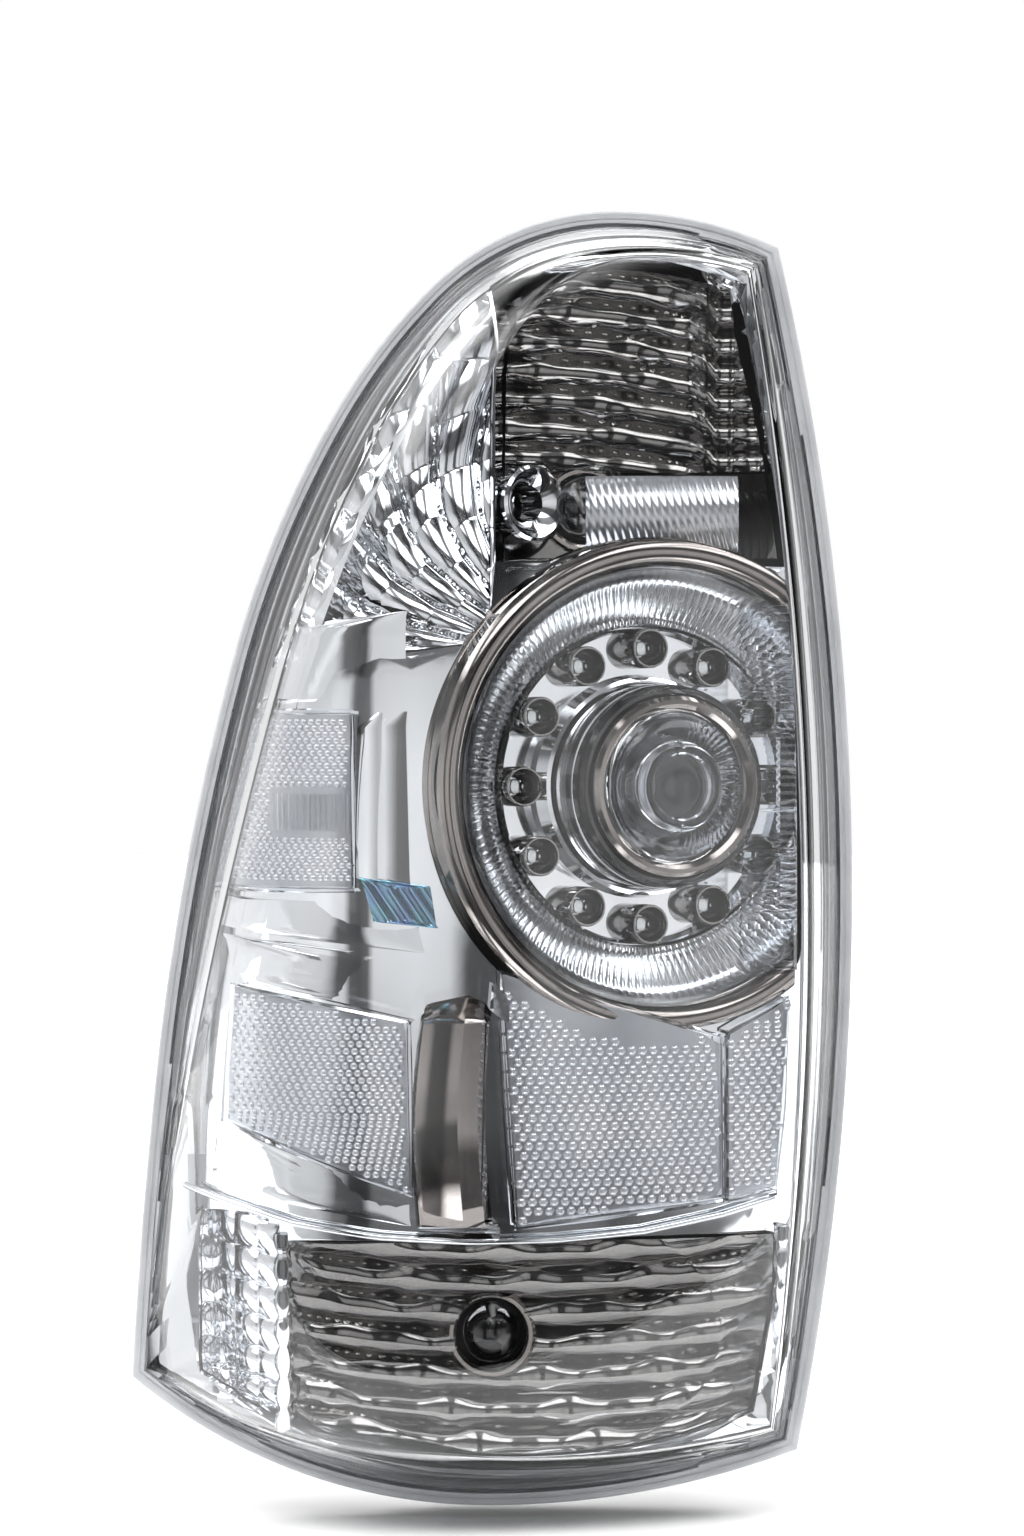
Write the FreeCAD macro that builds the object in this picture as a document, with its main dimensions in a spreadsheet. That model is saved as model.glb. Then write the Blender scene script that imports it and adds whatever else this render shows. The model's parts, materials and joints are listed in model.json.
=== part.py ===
import FreeCAD, Part
import math
import os
import Sketcher
from FreeCAD import Placement, Rotation, Vector

# A corner lamp assembly: a drafted clear lens on a deep tray housing, with metallised
# reflectors, a round LED unit turned towards the lamp's right, and four bulbs in
# twist-lock holders. Millimetres. X runs to the right seen from the front, Y to the
# back and Z up. The origin is the middle of the four mounting studs, on the mounting face.

DRIVING = [
    # outline of the lens flange, in the XZ plane
    ("apex_x", 10.0), ("apex_z", 210.8), ("top_right_x", 64.3), ("top_right_z", 198.6),
    ("right_x", 88.6), ("right_z", 10.0), ("foot_right_x", 70.6), ("foot_right_z", -200.1),
    ("lowest_x", -32.0), ("lowest_z", -218.7),
    ("left_radius_a", 86.0), ("left_turn_a", 45.0), ("left_radius_b", 200.0), ("left_turn_b", 15.0),
    ("left_radius_c", 340.0), ("left_turn_c", 15.0), ("left_radius_d", 900.0), ("left_turn_d", 9.0),
    ("left_radius_e", 1900.0), ("left_turn_e", 3.0),
    # front surface: an arc profile in the XY plane, swept up and down on a large radius
    ("front_x", -60.0), ("front_y", -114.0), ("sweep_radius", 700.0),
    ("corner_radius", 80.0), ("corner_turn", 35.0), ("side_radius", 130.0), ("side_turn", 38.0),
    ("face_radius", 200.0), ("face_turn", 14.0), ("inboard_radius", 290.0), ("inboard_turn", 27.0),
    # lens and housing walls
    ("draft", 18.0), ("lens_wall", 2.8), ("flange_y", -35.0), ("flange_thick", 3.5), ("land", 4.0),
    ("foot_deep", 6.0), ("foot_gap", 0.6), ("channel_floor", -26.0),
    ("tray_wall", 2.8), ("back_y", -4.0), ("tray_draft", 8.0),
    ("step_x", -66.0), ("step_y", -18.0),
    # mounting studs
    ("stud_span_x", 110.0), ("stud_span_z", 280.0), ("stud_radius", 3.0), ("stud_out", 22.0),
    ("stud_boss_radius", 8.0), ("stud_shoulder", 3.5), ("stud_head", 5.2),
    # round LED unit
    ("ring_x", 18.5), ("ring_y", -58.5), ("ring_z", 20.0), ("ring_turn", 24.0),
    ("ring_outer", 81.0), ("ring_inner", 72.0), ("ring_front", -20.0), ("trim_x", 68.2),
    ("led_count", 12.0), ("led_pitch", 45.0), ("led_radius", 2.5), ("board_y", 6.0), ("board_thick", 1.6),
    # bulbs and their holders; each is measured from the face that its holder seats on
    ("seat_y", -1.0), ("neck_radius", 13.6), ("neck_long", 14.0), ("bore_gap", 0.6),
    ("grip_radius", 18.5), ("grip_thick", 3.0), ("lug_reach", 3.2), ("lug_angle", 30.0),
    ("small_scale", 0.7), ("centre_seat", 54.5), ("side_seat", -18.0),
    ("upper_x", 0.0), ("upper_z", 112.0), ("lower_x", -31.0), ("lower_z", -160.0),
    ("side_x", -88.0), ("side_z", 12.0),
    # inner shells, as distances in from the lens's outer face
    ("bezel_in", 16.0), ("bezel_thick", 2.0), ("panel_in", 13.4), ("panel_thick", 2.4),
    ("strap_in", 8.0), ("bowl_radius", 112.0), ("bowl_wall", 2.0),
    # screw legs and posts
    ("leg_radius", 5.0), ("leg_end", -22.0), ("head_radius", 2.8), ("shank_radius", 1.3),
]

# the chambers' windows: left, right, bottom, top, and the least distance from the lens's outline
WINDOWS = {
    "upper": (-28.0, 60.0, 103.0, 186.0, 22.0),
    "upper_side": (-100.0, -36.0, 60.0, 178.0, 27.0),
    "side": (-115.0, -75.0, -12.0, 42.0, 16.0),
    "lower_side_panel": (-110.0, -60.0, -104.0, -52.0, 20.0),
    "lower_panel": (-27.0, 62.0, -118.0, -54.0, 24.0),
    "lower": (-97.0, 60.0, -196.0, -130.0, 25.0),
    "lower_side": (-121.0, -102.0, -188.0, -120.0, 18.0),
}
# the bulbs: glass radius, glass length, half width and half height of the base
BULBS = {
    "upper": (10.0, 36.0, 7.0, 3.4),
    "centre": (7.6, 34.0, 6.6, 3.2),
    "lower": (10.0, 36.0, 7.0, 3.4),
    "side": (5.0, 20.0, 4.8, 2.2),
}
# places on the back wall, as X and Z
CONNECTOR = (36.0, 92.0)
VENTS = [(44.0, -90.0), (40.0, 154.0)]
BEZEL_LEGS = [(-45.0, -84.0), (-60.0, 47.0), (-61.0, -30.0)]
# the back wall's ribs: the level ones' Z, and the upright ones' X and Z range
RIB_LEVELS = (-112.0, -64.0, 68.0, 136.0)
RIB_RUNS = [(-38.0, -112.0, -64.0), (10.0, -112.0, -64.0), (34.0, -64.0, 68.0),
            (-40.0, 68.0, 136.0), (10.0, 136.0, 200.0)]

doc = FreeCAD.newDocument("corner_lamp")
sheet = doc.addObject("Spreadsheet::Sheet", "sizes")
for row, (alias, number) in enumerate(DRIVING, start=1):
    sheet.set("A%d" % row, alias)
    sheet.set("B%d" % row, str(number))
    sheet.setAlias("B%d" % row, alias)
doc.recompute()


class Size:
    """A number that also carries the spreadsheet expression it comes from."""

    def __init__(self, value, text):
        self.value, self.text = float(value), text

    def _with(self, other, sign, value):
        other = size(other)
        return Size(value, "(%s %s %s)" % (self.text, sign, other.text))

    def __add__(self, other):
        return self._with(other, "+", self.value + size(other).value)

    def __sub__(self, other):
        return self._with(other, "-", self.value - size(other).value)

    def __mul__(self, other):
        return self._with(other, "*", self.value * size(other).value)

    def __neg__(self):
        return Size(-self.value, "(0 - %s)" % self.text)

    __radd__ = __add__
    __rmul__ = __mul__

    def __rsub__(self, other):
        return size(other) - self


def size(number):
    """A plain number or a Size, as a Size."""
    return number if isinstance(number, Size) else Size(number, repr(float(number)))


def cell(alias):
    """The Size held in one of the sheet's cells."""
    return Size(float(sheet.get(alias)), "sizes." + alias)


def num(alias):
    """A cell's plain value."""
    return float(sheet.get(alias))


NODES = {}
FRONT = Vector(0, -1, 0)
ALONG_Y = Rotation(Vector(1, 0, 0), -90)


def node(name, obj):
    """Names the object that is exported as one sub-part."""
    obj.Label = name
    NODES[name] = obj
    return obj


def place(obj, at=None, rotation=None):
    """Sets where an object stands, with its position bound to the sheet."""
    obj.Placement = Placement(Vector(), rotation or Rotation())
    for axis, number in zip("xyz", at or (0, 0, 0)):
        obj.setExpression("Placement.Base." + axis, size(number).text)
    return obj


def box(low, span):
    """A box from its lowest corner and its three lengths."""
    made = doc.addObject("Part::Box", "box")
    for name, number in zip(("Length", "Width", "Height"), span):
        made.setExpression(name, size(number).text)
    return place(made, low)


def rod(radius, length, at, rotation=ALONG_Y):
    """A cylinder that starts at a point and runs along +Y unless turned."""
    made = doc.addObject("Part::Cylinder", "rod")
    made.setExpression("Radius", size(radius).text)
    made.setExpression("Height", size(length).text)
    return place(made, at, rotation)


def ball(radius, at):
    """A whole sphere about a point."""
    made = doc.addObject("Part::Sphere", "ball")
    made.setExpression("Radius", size(radius).text)
    return place(made, at)


def fuse(parts):
    """All the given objects as one."""
    if len(parts) == 1:
        return parts[0]
    made = doc.addObject("Part::MultiFuse", "fused")
    made.Shapes = parts
    return made


def cut(base, tools):
    """The base less each of the tools."""
    if not tools:
        return base
    made = doc.addObject("Part::Cut", "cut")
    made.Base = base
    made.Tool = fuse(tools)
    return made


def common(parts):
    """Only what all the given objects share."""
    made = doc.addObject("Part::MultiCommon", "shared")
    made.Shapes = parts
    return made


def group(parts):
    """Separate solids that are one node."""
    made = doc.addObject("Part::Compound", "group")
    made.Links = parts
    return made


def blank(shape):
    """A computed shape as an object of the document."""
    made = doc.addObject("Part::Feature", "blank")
    made.Shape = shape
    return made


def turned(name, profile, at=None, rotation=None):
    """A body turned about its own Y axis from a closed profile of (radius, along) corners."""
    body = doc.addObject("PartDesign::Body", name)
    sketch = body.newObject("Sketcher::SketchObject", name + "_profile")
    planes = [f for f in body.Origin.OriginFeatures if f.Role == "XY_Plane"]
    sketch.AttachmentSupport = (planes[0], [""])
    sketch.MapMode = "FlatFace"
    corners = [(size(r), size(y)) for r, y in profile]
    count = len(corners)
    for i in range(count):
        ends = [Vector(r.value, y.value, 0) for r, y in (corners[i], corners[(i + 1) % count])]
        sketch.addGeometry(Part.LineSegment(*ends), False)
    for i in range(count):
        sketch.addConstraint(Sketcher.Constraint("Coincident", i, 2, (i + 1) % count, 1))
    for i, (r, y) in enumerate(corners):
        for kind, number in (("DistanceX", r), ("DistanceY", y)):
            index = sketch.addConstraint(Sketcher.Constraint(kind, -1, 1, i, 1, number.value))
            sketch.setExpression("Constraints[%d]" % index, number.text)
    turn = body.newObject("PartDesign::Revolution", name + "_turn")
    turn.Profile = sketch
    turn.ReferenceAxis = (sketch, ["V_Axis"])
    turn.Angle = 360.0
    sketch.Visibility = False
    return place(body, at, rotation)


# ---------------------------------------------------------------- the flange outline

def flange_arcs():
    """The outline as arcs in order, each (centre, radius, start, end, start is a corner)."""
    apex = Vector(num("apex_x"), 0, num("apex_z"))
    point, heading, arcs = apex, 0.0, []
    for letter in "abcde":
        radius, turn = num("left_radius_" + letter), math.radians(num("left_turn_" + letter))
        centre = point + Vector(radius * math.sin(heading), 0, -radius * math.cos(heading))
        heading += turn
        end = centre + Vector(-radius * math.sin(heading), 0, radius * math.cos(heading))
        arcs.append([centre, radius, point, end, False])
        point = end
    lowest = Vector(num("lowest_x"), 0, num("lowest_z"))
    foot_right = Vector(num("foot_right_x"), 0, num("foot_right_z"))
    top_right = Vector(num("top_right_x"), 0, num("top_right_z"))
    for start, end, flat, corner in ((point, lowest, lowest, True), (lowest, foot_right, lowest, False)):
        other = start if flat is end else end
        rise = other.z - flat.z
        radius = (other - flat).Length ** 2 / (2 * rise)
        arcs.append([flat + Vector(0, 0, radius), radius, start, end, corner])
    side = Part.Arc(foot_right, Vector(num("right_x"), 0, num("right_z")), top_right).toShape().Curve
    arcs.append([side.Center, side.Radius, foot_right, top_right, True])
    radius = (top_right - apex).Length ** 2 / (2 * (apex.z - top_right.z))
    arcs.append([apex - Vector(0, 0, radius), radius, top_right, apex, True])
    return arcs


def meeting(a, b, inset, near):
    """Where two inset arcs meet, next to the corner they came from."""
    gap = b[0] - a[0]
    r1, r2, d = a[1] - inset, b[1] - inset, gap.Length
    along = (d * d + r1 * r1 - r2 * r2) / (2 * d)
    up = math.sqrt(r1 * r1 - along * along)
    unit = gap / d
    side = Vector(-unit.z, 0, unit.x) * up
    foot = a[0] + unit * along
    return min((foot + side, foot - side), key=lambda p: (p - near).Length)


def outline(inset, y):
    """The flange outline, moved inwards, as a closed wire in the plane at y."""
    arcs = flange_arcs()
    starts = []
    for i, arc in enumerate(arcs):
        centre, radius, start, _, corner = arc
        if corner:
            starts.append(meeting(arcs[i - 1], arc, inset, start))
        else:
            starts.append(centre + (start - centre) * ((radius - inset) / radius))
    edges = []
    for i, (centre, radius, _, _, _) in enumerate(arcs):
        a, b = starts[i], starts[(i + 1) % len(arcs)]
        middle = (a + b) * 0.5 - centre
        middle = centre + middle * ((radius - inset) / middle.Length)
        edges.append(Part.Arc(*[p + Vector(0, y, 0) for p in (a, middle, b)]).toShape())
    return Part.Wire(edges)


def prism(inset, y0, y1):
    """The outline, moved inwards, as a straight solid between two depths."""
    return Part.Face(outline(inset, y0)).extrude(Vector(0, y1 - y0, 0))


def drafted(inset, y0, y1, angle):
    """The outline as a solid that narrows by the draft angle from y0 to y1."""
    narrowed = inset + abs(y1 - y0) * math.tan(math.radians(angle))
    return Part.makeLoft([outline(inset, y0), outline(narrowed, y1)], True, True)


# ---------------------------------------------------------------- the front surface

def front_block(inset):
    """Everything behind the lens's front surface, moved back by inset."""
    start = Vector(num("front_x"), num("front_y"), 0)
    edges, ends = [], []
    for sign, names in ((1, ("face", "inboard")), (-1, ("corner", "side"))):
        heading, point, chain = 0.0, start, []
        for name in names:
            radius, turn = num(name + "_radius"), math.radians(num(name + "_turn"))
            centre = point + Vector(-sign * radius * math.sin(heading), radius * math.cos(heading), 0)
            stops = []
            for share in (0.0, 0.5, 1.0):
                angle = heading + turn * share
                reach = Vector(sign * math.sin(angle), -math.cos(angle), 0)
                stops.append(centre + reach * (radius - inset))
            chain.append(Part.Arc(*stops).toShape())
            heading += turn
            point = centre + Vector(sign * math.sin(heading), -math.cos(heading), 0) * radius
            last = stops[2]
        edges.append(chain)
        ends.append(last)
    back = 60.0
    right, left = ends
    closing = [right, Vector(right.x, back, 0), Vector(left.x, back, 0), left]
    lines = [Part.makeLine(a, b) for a, b in zip(closing, closing[1:])]
    face = Part.Face(Part.Wire(edges[0] + lines + edges[1][::-1]))
    axis_at, axis = Vector(0, num("front_y") + num("sweep_radius"), 0), Vector(1, 0, 0)
    face.rotate(axis_at, axis, -25.0)
    return face.revolve(axis_at, axis, 50.0)


FLANGE, LAND = num("flange_y"), num("land")
INNER_INSET = LAND + num("lens_wall") / math.cos(math.radians(num("draft")))


def inside(clear, depth, back=FLANGE):
    """The room inside the lens, kept clear of its walls and this deep behind its front."""
    room = drafted(INNER_INSET + clear, FLANGE, -122.0, num("draft"))
    if back > FLANGE:
        room = room.fuse(prism(INNER_INSET + clear, FLANGE - 0.01, back))
    return room.common(front_block(depth))


def skin(clear, depth, thick):
    """A thin layer that follows the lens's front surface."""
    return blank(inside(clear, depth).cut(front_block(depth + thick)))


# ---------------------------------------------------------------- lens, seal, housing

def build_lens():
    """The clear outer lens: front, drafted sides, flange and the foot in the channel."""
    outer = drafted(LAND, FLANGE, -122.0, num("draft")).common(front_block(0))
    flange = prism(0, FLANGE - num("flange_thick"), FLANGE)
    foot = prism(LAND + 0.5, FLANGE, FLANGE + num("foot_deep"))
    hollow = drafted(INNER_INSET, FLANGE, -122.0, num("draft")).common(front_block(num("lens_wall")))
    mouth = prism(INNER_INSET, FLANGE - 0.01, FLANGE + num("foot_deep") + 1)
    solid = fuse([blank(s) for s in (outer, flange, foot)])
    return node("outer_lens", cut(solid, [blank(hollow), blank(mouth)]))


CHANNEL_OUT = LAND + 0.5 - num("foot_gap")
CHANNEL_IN = INNER_INSET + num("foot_gap")


def build_seal():
    """The sealing bead that fills the channel behind the lens's foot."""
    top, floor = FLANGE + num("foot_deep"), num("channel_floor")
    bead = cut(blank(prism(CHANNEL_OUT, top, floor)), [blank(prism(CHANNEL_IN, top - 1, floor + 1))])
    return node("lens_seal", bead)


def ring_frame():
    """Where the round unit stands: its own -Y axis points forwards out of the lamp."""
    return (cell("ring_x"), cell("ring_y"), cell("ring_z")), Rotation(Vector(0, 0, 1), num("ring_turn"))


def ring_point(x, y, z):
    """A point of the round unit in the lamp's frame."""
    at, rotation = ring_frame()
    return Vector(*[a.value for a in at]) + rotation.multVec(Vector(x, y, z))


def ring_vector():
    """The round unit's axis, pointing to the back."""
    return ring_frame()[1].multVec(Vector(0, 1, 0))


def around(radius, angle):
    """A point on a circle of the round unit, at an angle from its right."""
    return radius * math.cos(math.radians(angle)), radius * math.sin(math.radians(angle))


def carrier_leg_places():
    """Where the round unit's three legs meet the housing, as X and Z."""
    spots = []
    for angle in (58.0, 155.0, -58.0):
        x, z = around(77.0, angle)
        spots.append(ring_point(x, -1.6, z))
    return spots


class Seat:
    """The face on the housing that a bulb holder turns against."""

    def __init__(self, name, at, rotation, scale=None):
        self.name, self.at, self.rotation = name, at, rotation
        self.scale = scale or size(1.0)

    def shift(self, along):
        """The point on the seat's axis this far behind its face."""
        step = self.rotation.multVec(Vector(0, 1, 0))
        return tuple(a + size(s) * along for a, s in zip(self.at, (step.x, step.y, step.z)))

    def rod(self, radius, start, end):
        """A cylinder on the seat's axis, between two distances from its face."""
        turn = self.rotation.multiply(ALONG_Y)
        return rod(radius, size(end) - size(start), self.shift(size(start)), turn)

    def sector(self, radius, start, end, angle, wide):
        """A wedge about the seat's axis, centred on an angle."""
        made = doc.addObject("Part::Cylinder", "sector")
        made.setExpression("Radius", size(radius).text)
        made.setExpression("Height", (size(end) - size(start)).text)
        made.setExpression("Angle", size(wide).text)
        spin = Rotation(Vector(0, 0, 1), angle - size(wide).value / 2)
        turn = self.rotation.multiply(ALONG_Y).multiply(spin)
        return place(made, self.shift(size(start)), turn)

    def local(self, obj):
        """Puts an object that was made about its own origin onto the seat."""
        return place(obj, self.at, self.rotation)


def seats():
    """The four bulb holders' seats."""
    straight = Rotation()
    at, tilt = ring_frame()
    back = tilt.multVec(Vector(0, 1, 0))
    centre = tuple(a + size(b) * cell("centre_seat") for a, b in zip(at, (back.x, back.y, back.z)))
    return [
        Seat("upper", (cell("upper_x"), cell("seat_y"), cell("upper_z")), straight),
        Seat("centre", centre, tilt),
        Seat("lower", (cell("lower_x"), cell("seat_y"), cell("lower_z")), straight),
        Seat("side", (cell("side_x"), cell("side_seat"), cell("side_z")), straight, cell("small_scale")),
    ]


def seat_tools(seat):
    """What a holder's seat adds to the housing, and what it takes away."""
    k, bore = seat.scale, cell("neck_radius") + cell("bore_gap")
    wall = 3.6
    adds = [seat.rod(k * 21.0, -wall, 0)]
    takes = [seat.rod(k * bore, -wall - 6.0, 3.0)]
    for angle in (45.0, 165.0, 285.0):
        reach = k * (bore + cell("lug_reach"))
        takes.append(seat.sector(reach, -wall - 6.0, 3.0, angle, cell("lug_angle") + 6.0))
    takes.append(seat.rod(k * (bore + cell("lug_reach") + 0.2), -20.0, -wall))
    if seat.name == "centre":
        adds = [seat.rod(25.5, -9.0, 16.0), seat.rod(k * 21.0, -wall, 0)]
        takes.append(seat.rod(23.0, 0, 40.0))
        takes.append(seat.rod(23.0, -40.0, -wall))
    return adds, takes


def build_housing():
    """The moulded tray: glue channel, stepped back wall, bulb seats, posts and bosses."""
    lip_top, floor = FLANGE + 0.3, num("channel_floor")
    wall, angle = num("tray_wall"), num("tray_draft")
    rim = prism(0.6, lip_top, floor + 2.5)
    tray = drafted(CHANNEL_IN, floor + 2.5, num("back_y"), angle)
    channel = prism(CHANNEL_OUT, lip_top - 1, floor).cut(prism(CHANNEL_IN, lip_top - 2, floor + 1))
    hollow = drafted(CHANNEL_IN + wall, lip_top - 1, num("back_y") - wall, angle)
    step = box((-200.0, cell("step_y"), -260.0), (cell("step_x") + 200.0, 60.0, 520.0))
    inner_step = box((-200.0, cell("step_y") - cell("tray_wall"), -260.0),
                     (cell("step_x") + cell("tray_wall") + 200.0, 60.0, 520.0))
    shell_solid = cut(fuse([blank(rim), blank(tray)]), [step, blank(channel)])
    tray_shell = cut(shell_solid, [cut(blank(hollow), [inner_step])])
    adds = [common([blank(prism(CHANNEL_IN + 6.0, -7.0, 0.0)), fuse(back_ribs())])]
    takes = []
    for seat in seats():
        more, less = seat_tools(seat)
        adds += more
        takes += less
    for x, z in stud_places():
        adds.append(rod(cell("stud_boss_radius"), 13.0, (x, -13.0, z)))
        takes += stud_solids(x, z)
    for spot in [(p.x, p.z) for p in carrier_leg_places()] + BEZEL_LEGS:
        adds.append(rod(cell("leg_radius"), -cell("leg_end") - 5.0, (spot[0], cell("leg_end"), spot[1])))
        takes.append(rod(cell("shank_radius"), 9.2, (spot[0], cell("leg_end") - 0.1, spot[1])))
    spouts = [rod(4.0, 12.0, (x, -5.0, z)) for x, z in VENTS]
    takes += [rod(2.4, 20.0, (x, -9.0, z)) for x, z in VENTS]
    takes.append(connector_hole())
    behind = box((-200.0, 0.0, -260.0), (400.0, 60.0, 520.0))
    beyond = blank(prism(-20.0, -60.0, 60.0).cut(prism(0.6, -61.0, 61.0)))
    seat_walls = cut(fuse(adds), [behind, beyond])
    return node("rear_housing", cut(fuse([tray_shell, seat_walls] + spouts), takes))


def back_ribs():
    """Stiffening ribs across the back wall, between the seats."""
    rib, proud = 2.0, 3.0
    back = cell("back_y")
    left = cell("step_x") + 3.0
    across = [box((left, back - 1.0, z), (150.0, proud + 1.0, rib)) for z in RIB_LEVELS]
    upright = [box((x, back - 1.0, z0), (rib, proud + 1.0, z1 - z0)) for x, z0, z1 in RIB_RUNS]
    return across + upright


def build_vents():
    """Rubber breather caps on the housing's two vent spouts."""
    caps = []
    for x, z in VENTS:
        profile = [(2.6, 7.0), (4.0, 7.0), (4.0, 0.0), (6.2, 0.0), (6.2, 10.0), (5.0, 12.0), (2.6, 12.0)]
        caps.append(turned("vent_cap", profile, (x, 0.0, z)))
    return node("vent_caps", group(caps))


# ---------------------------------------------------------------- studs and screws

def stud_places():
    """The four studs' places, as X and Z."""
    half_x, half_z = cell("stud_span_x") * 0.5, cell("stud_span_z") * 0.5
    return [(half_x * i, half_z * j) for i in (-1.0, 1.0) for j in (-1.0, 1.0)]


def stud_solids(x, z):
    """One stud: a free shank, and a shoulder and a wide head that are moulded into its boss."""
    return [rod(cell("stud_radius"), cell("stud_out") + 1.0, (x, -1.0, z)),
            rod(cell("stud_shoulder"), 8.0, (x, -8.0, z)),
            rod(cell("stud_head"), 3.0, (x, -9.0, z))]


def build_studs():
    """The four mounting studs."""
    return node("mounting_studs", group([fuse(stud_solids(x, z)) for x, z in stud_places()]))


def screw(x, z):
    """A pan-head screw that clamps a leg's floor to a post."""
    end = cell("leg_end")
    return fuse([rod(cell("head_radius"), 2.0, (x, end - 4.4, z)),
                 rod(cell("shank_radius"), 11.4, (x, end - 2.4, z))])


def leg(x, z, top):
    """A hollow leg from a carrier down to its post, as (solid, hollow)."""
    end = cell("leg_end")
    tube = rod(cell("leg_radius"), end - size(top), (x, top, z))
    bore = rod(cell("head_radius") + 0.3, end - 2.4 - size(top) + 8.0, (x, size(top) - 8.0, z))
    hole = rod(cell("shank_radius") + 0.2, 6.0, (x, end - 4.0, z))
    return tube, [bore, hole]


# ---------------------------------------------------------------- bezel, panels, reflectors

def window(name, grow, y0=-125.0, y1=0.0):
    """A window's prism through the bezel, grown on every side but kept inside the frame strip."""
    x0, x1, z0, z1, strip = WINDOWS[name]
    opening = box((x0 - grow, y0, z0 - grow), (x1 - x0 + 2 * grow, y1 - y0, z1 - z0 + 2 * grow))
    return common([opening, blank(prism(strip - grow, y0, y1))])


def ring_rod(radius, start, end):
    """A cylinder on the round unit's axis, as the lamp places it."""
    at, rotation = ring_frame()
    back = ring_vector()
    start_at = tuple(a + size(b) * start for a, b in zip(at, (back.x, back.y, back.z)))
    return rod(radius, size(end) - size(start), start_at, rotation.multiply(ALONG_Y))


def build_bezel():
    """The metallised mask that follows the lens and frames every chamber."""
    mask_blank = skin(1.5, num("bezel_in"), num("bezel_thick"))
    openings = [window(name, 0.0) for name in WINDOWS]
    openings.append(ring_rod(cell("ring_outer") + 1.0, -70.0, 60.0))
    mask = cut(mask_blank, openings)
    behind = blank(inside(1.5, num("bezel_in") + 0.5, num("leg_end")))
    tubes, hollows = [], []
    for x, z in BEZEL_LEGS:
        tube, hollow = leg(x, z, -112.0)
        tubes.append(tube)
        hollows += hollow
    legs = common([fuse(tubes), behind])
    return node("inner_bezel", cut(fuse([mask, legs]), hollows))


def panel(name, key, gaps):
    """A prism panel that lies on the front of the bezel over one window."""
    sheet_of_prisms = skin(2.0, num("panel_in"), num("panel_thick"))
    return node(name, cut(common([sheet_of_prisms, window(key, 2.0)]), gaps))


def build_panels():
    """The three prism panels, the side panel's clear window and the strap."""
    clear = box((-101.0, -125.0, 5.0), (24.0, 125.0, 13.0))
    panel("side_reflex_panel", "side", [clear])
    plain = skin(2.0, num("panel_in"), num("panel_thick"))
    inset = box((-100.8, -125.0, 5.2), (23.6, 125.0, 12.6))
    node("side_window_lens", common([plain, inset]))
    panel("lower_side_reflex_panel", "lower_side_panel", [])
    panel("lower_reflex_panel", "lower_panel", [ring_rod(cell("ring_outer") + 1.5, -70.0, 60.0)])
    strap_skin = skin(2.0, num("strap_in"), num("bezel_in") - num("strap_in") - 0.1)
    span = box((-56.0, -125.0, -124.5), (25.5, 125.0, 83.0))
    clearance = ring_rod(cell("ring_outer") + 1.0, -70.0, 60.0)
    node("chrome_strap", cut(common([strap_skin, span]), [clearance]))


def bowl(name, key, axis, vertex, hole):
    """A reflector: part of a hollow sphere behind one window, with room for its bulb."""
    x, z = axis
    centre = (x, size(vertex) - cell("bowl_radius"), z)
    outer_ball = ball(cell("bowl_radius") + cell("bowl_wall"), centre)
    hollow_ball = cut(outer_ball, [ball(cell("bowl_radius"), centre)])
    behind = blank(inside(2.0, num("bezel_in") + num("bezel_thick") + 0.3, -8.0))
    rear = window(key, 1.2, -110.0, -1.0)
    tools = [ring_rod(cell("ring_outer") + 1.6, -70.0, 40.0)]
    if hole:
        tools.append(rod(hole, 60.0, (x, -50.0, z)))
    return node(name, cut(common([hollow_ball, behind, rear]), tools))


def build_reflectors():
    """The reflector bowls behind the bezel."""
    upper = (cell("upper_x"), cell("upper_z"))
    lower = (cell("lower_x"), cell("lower_z"))
    side = (cell("side_x"), cell("side_z"))
    bowl("upper_reflector", "upper", upper, -18.0, 15.5)
    bowl("upper_side_reflector", "upper_side", upper, -18.0, None)
    bowl("lower_reflector", "lower", lower, -24.5, 15.5)
    bowl("lower_side_reflector", "lower_side", lower, -24.5, None)
    bowl("side_reflector", "side", side, -25.0, 12.0)


# ---------------------------------------------------------------- the round LED unit

def trimmed(name, obj):
    """The round unit's pieces stop at the lamp's right wall."""
    at = (cell("trim_x"), -140.0, -120.0)
    return node(name, cut(obj, [box(at, (60.0, 180.0, 260.0))]))


def ring_body(name, profile):
    """A turned body in the round unit's frame."""
    at, rotation = ring_frame()
    return turned(name, profile, at, rotation)


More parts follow.
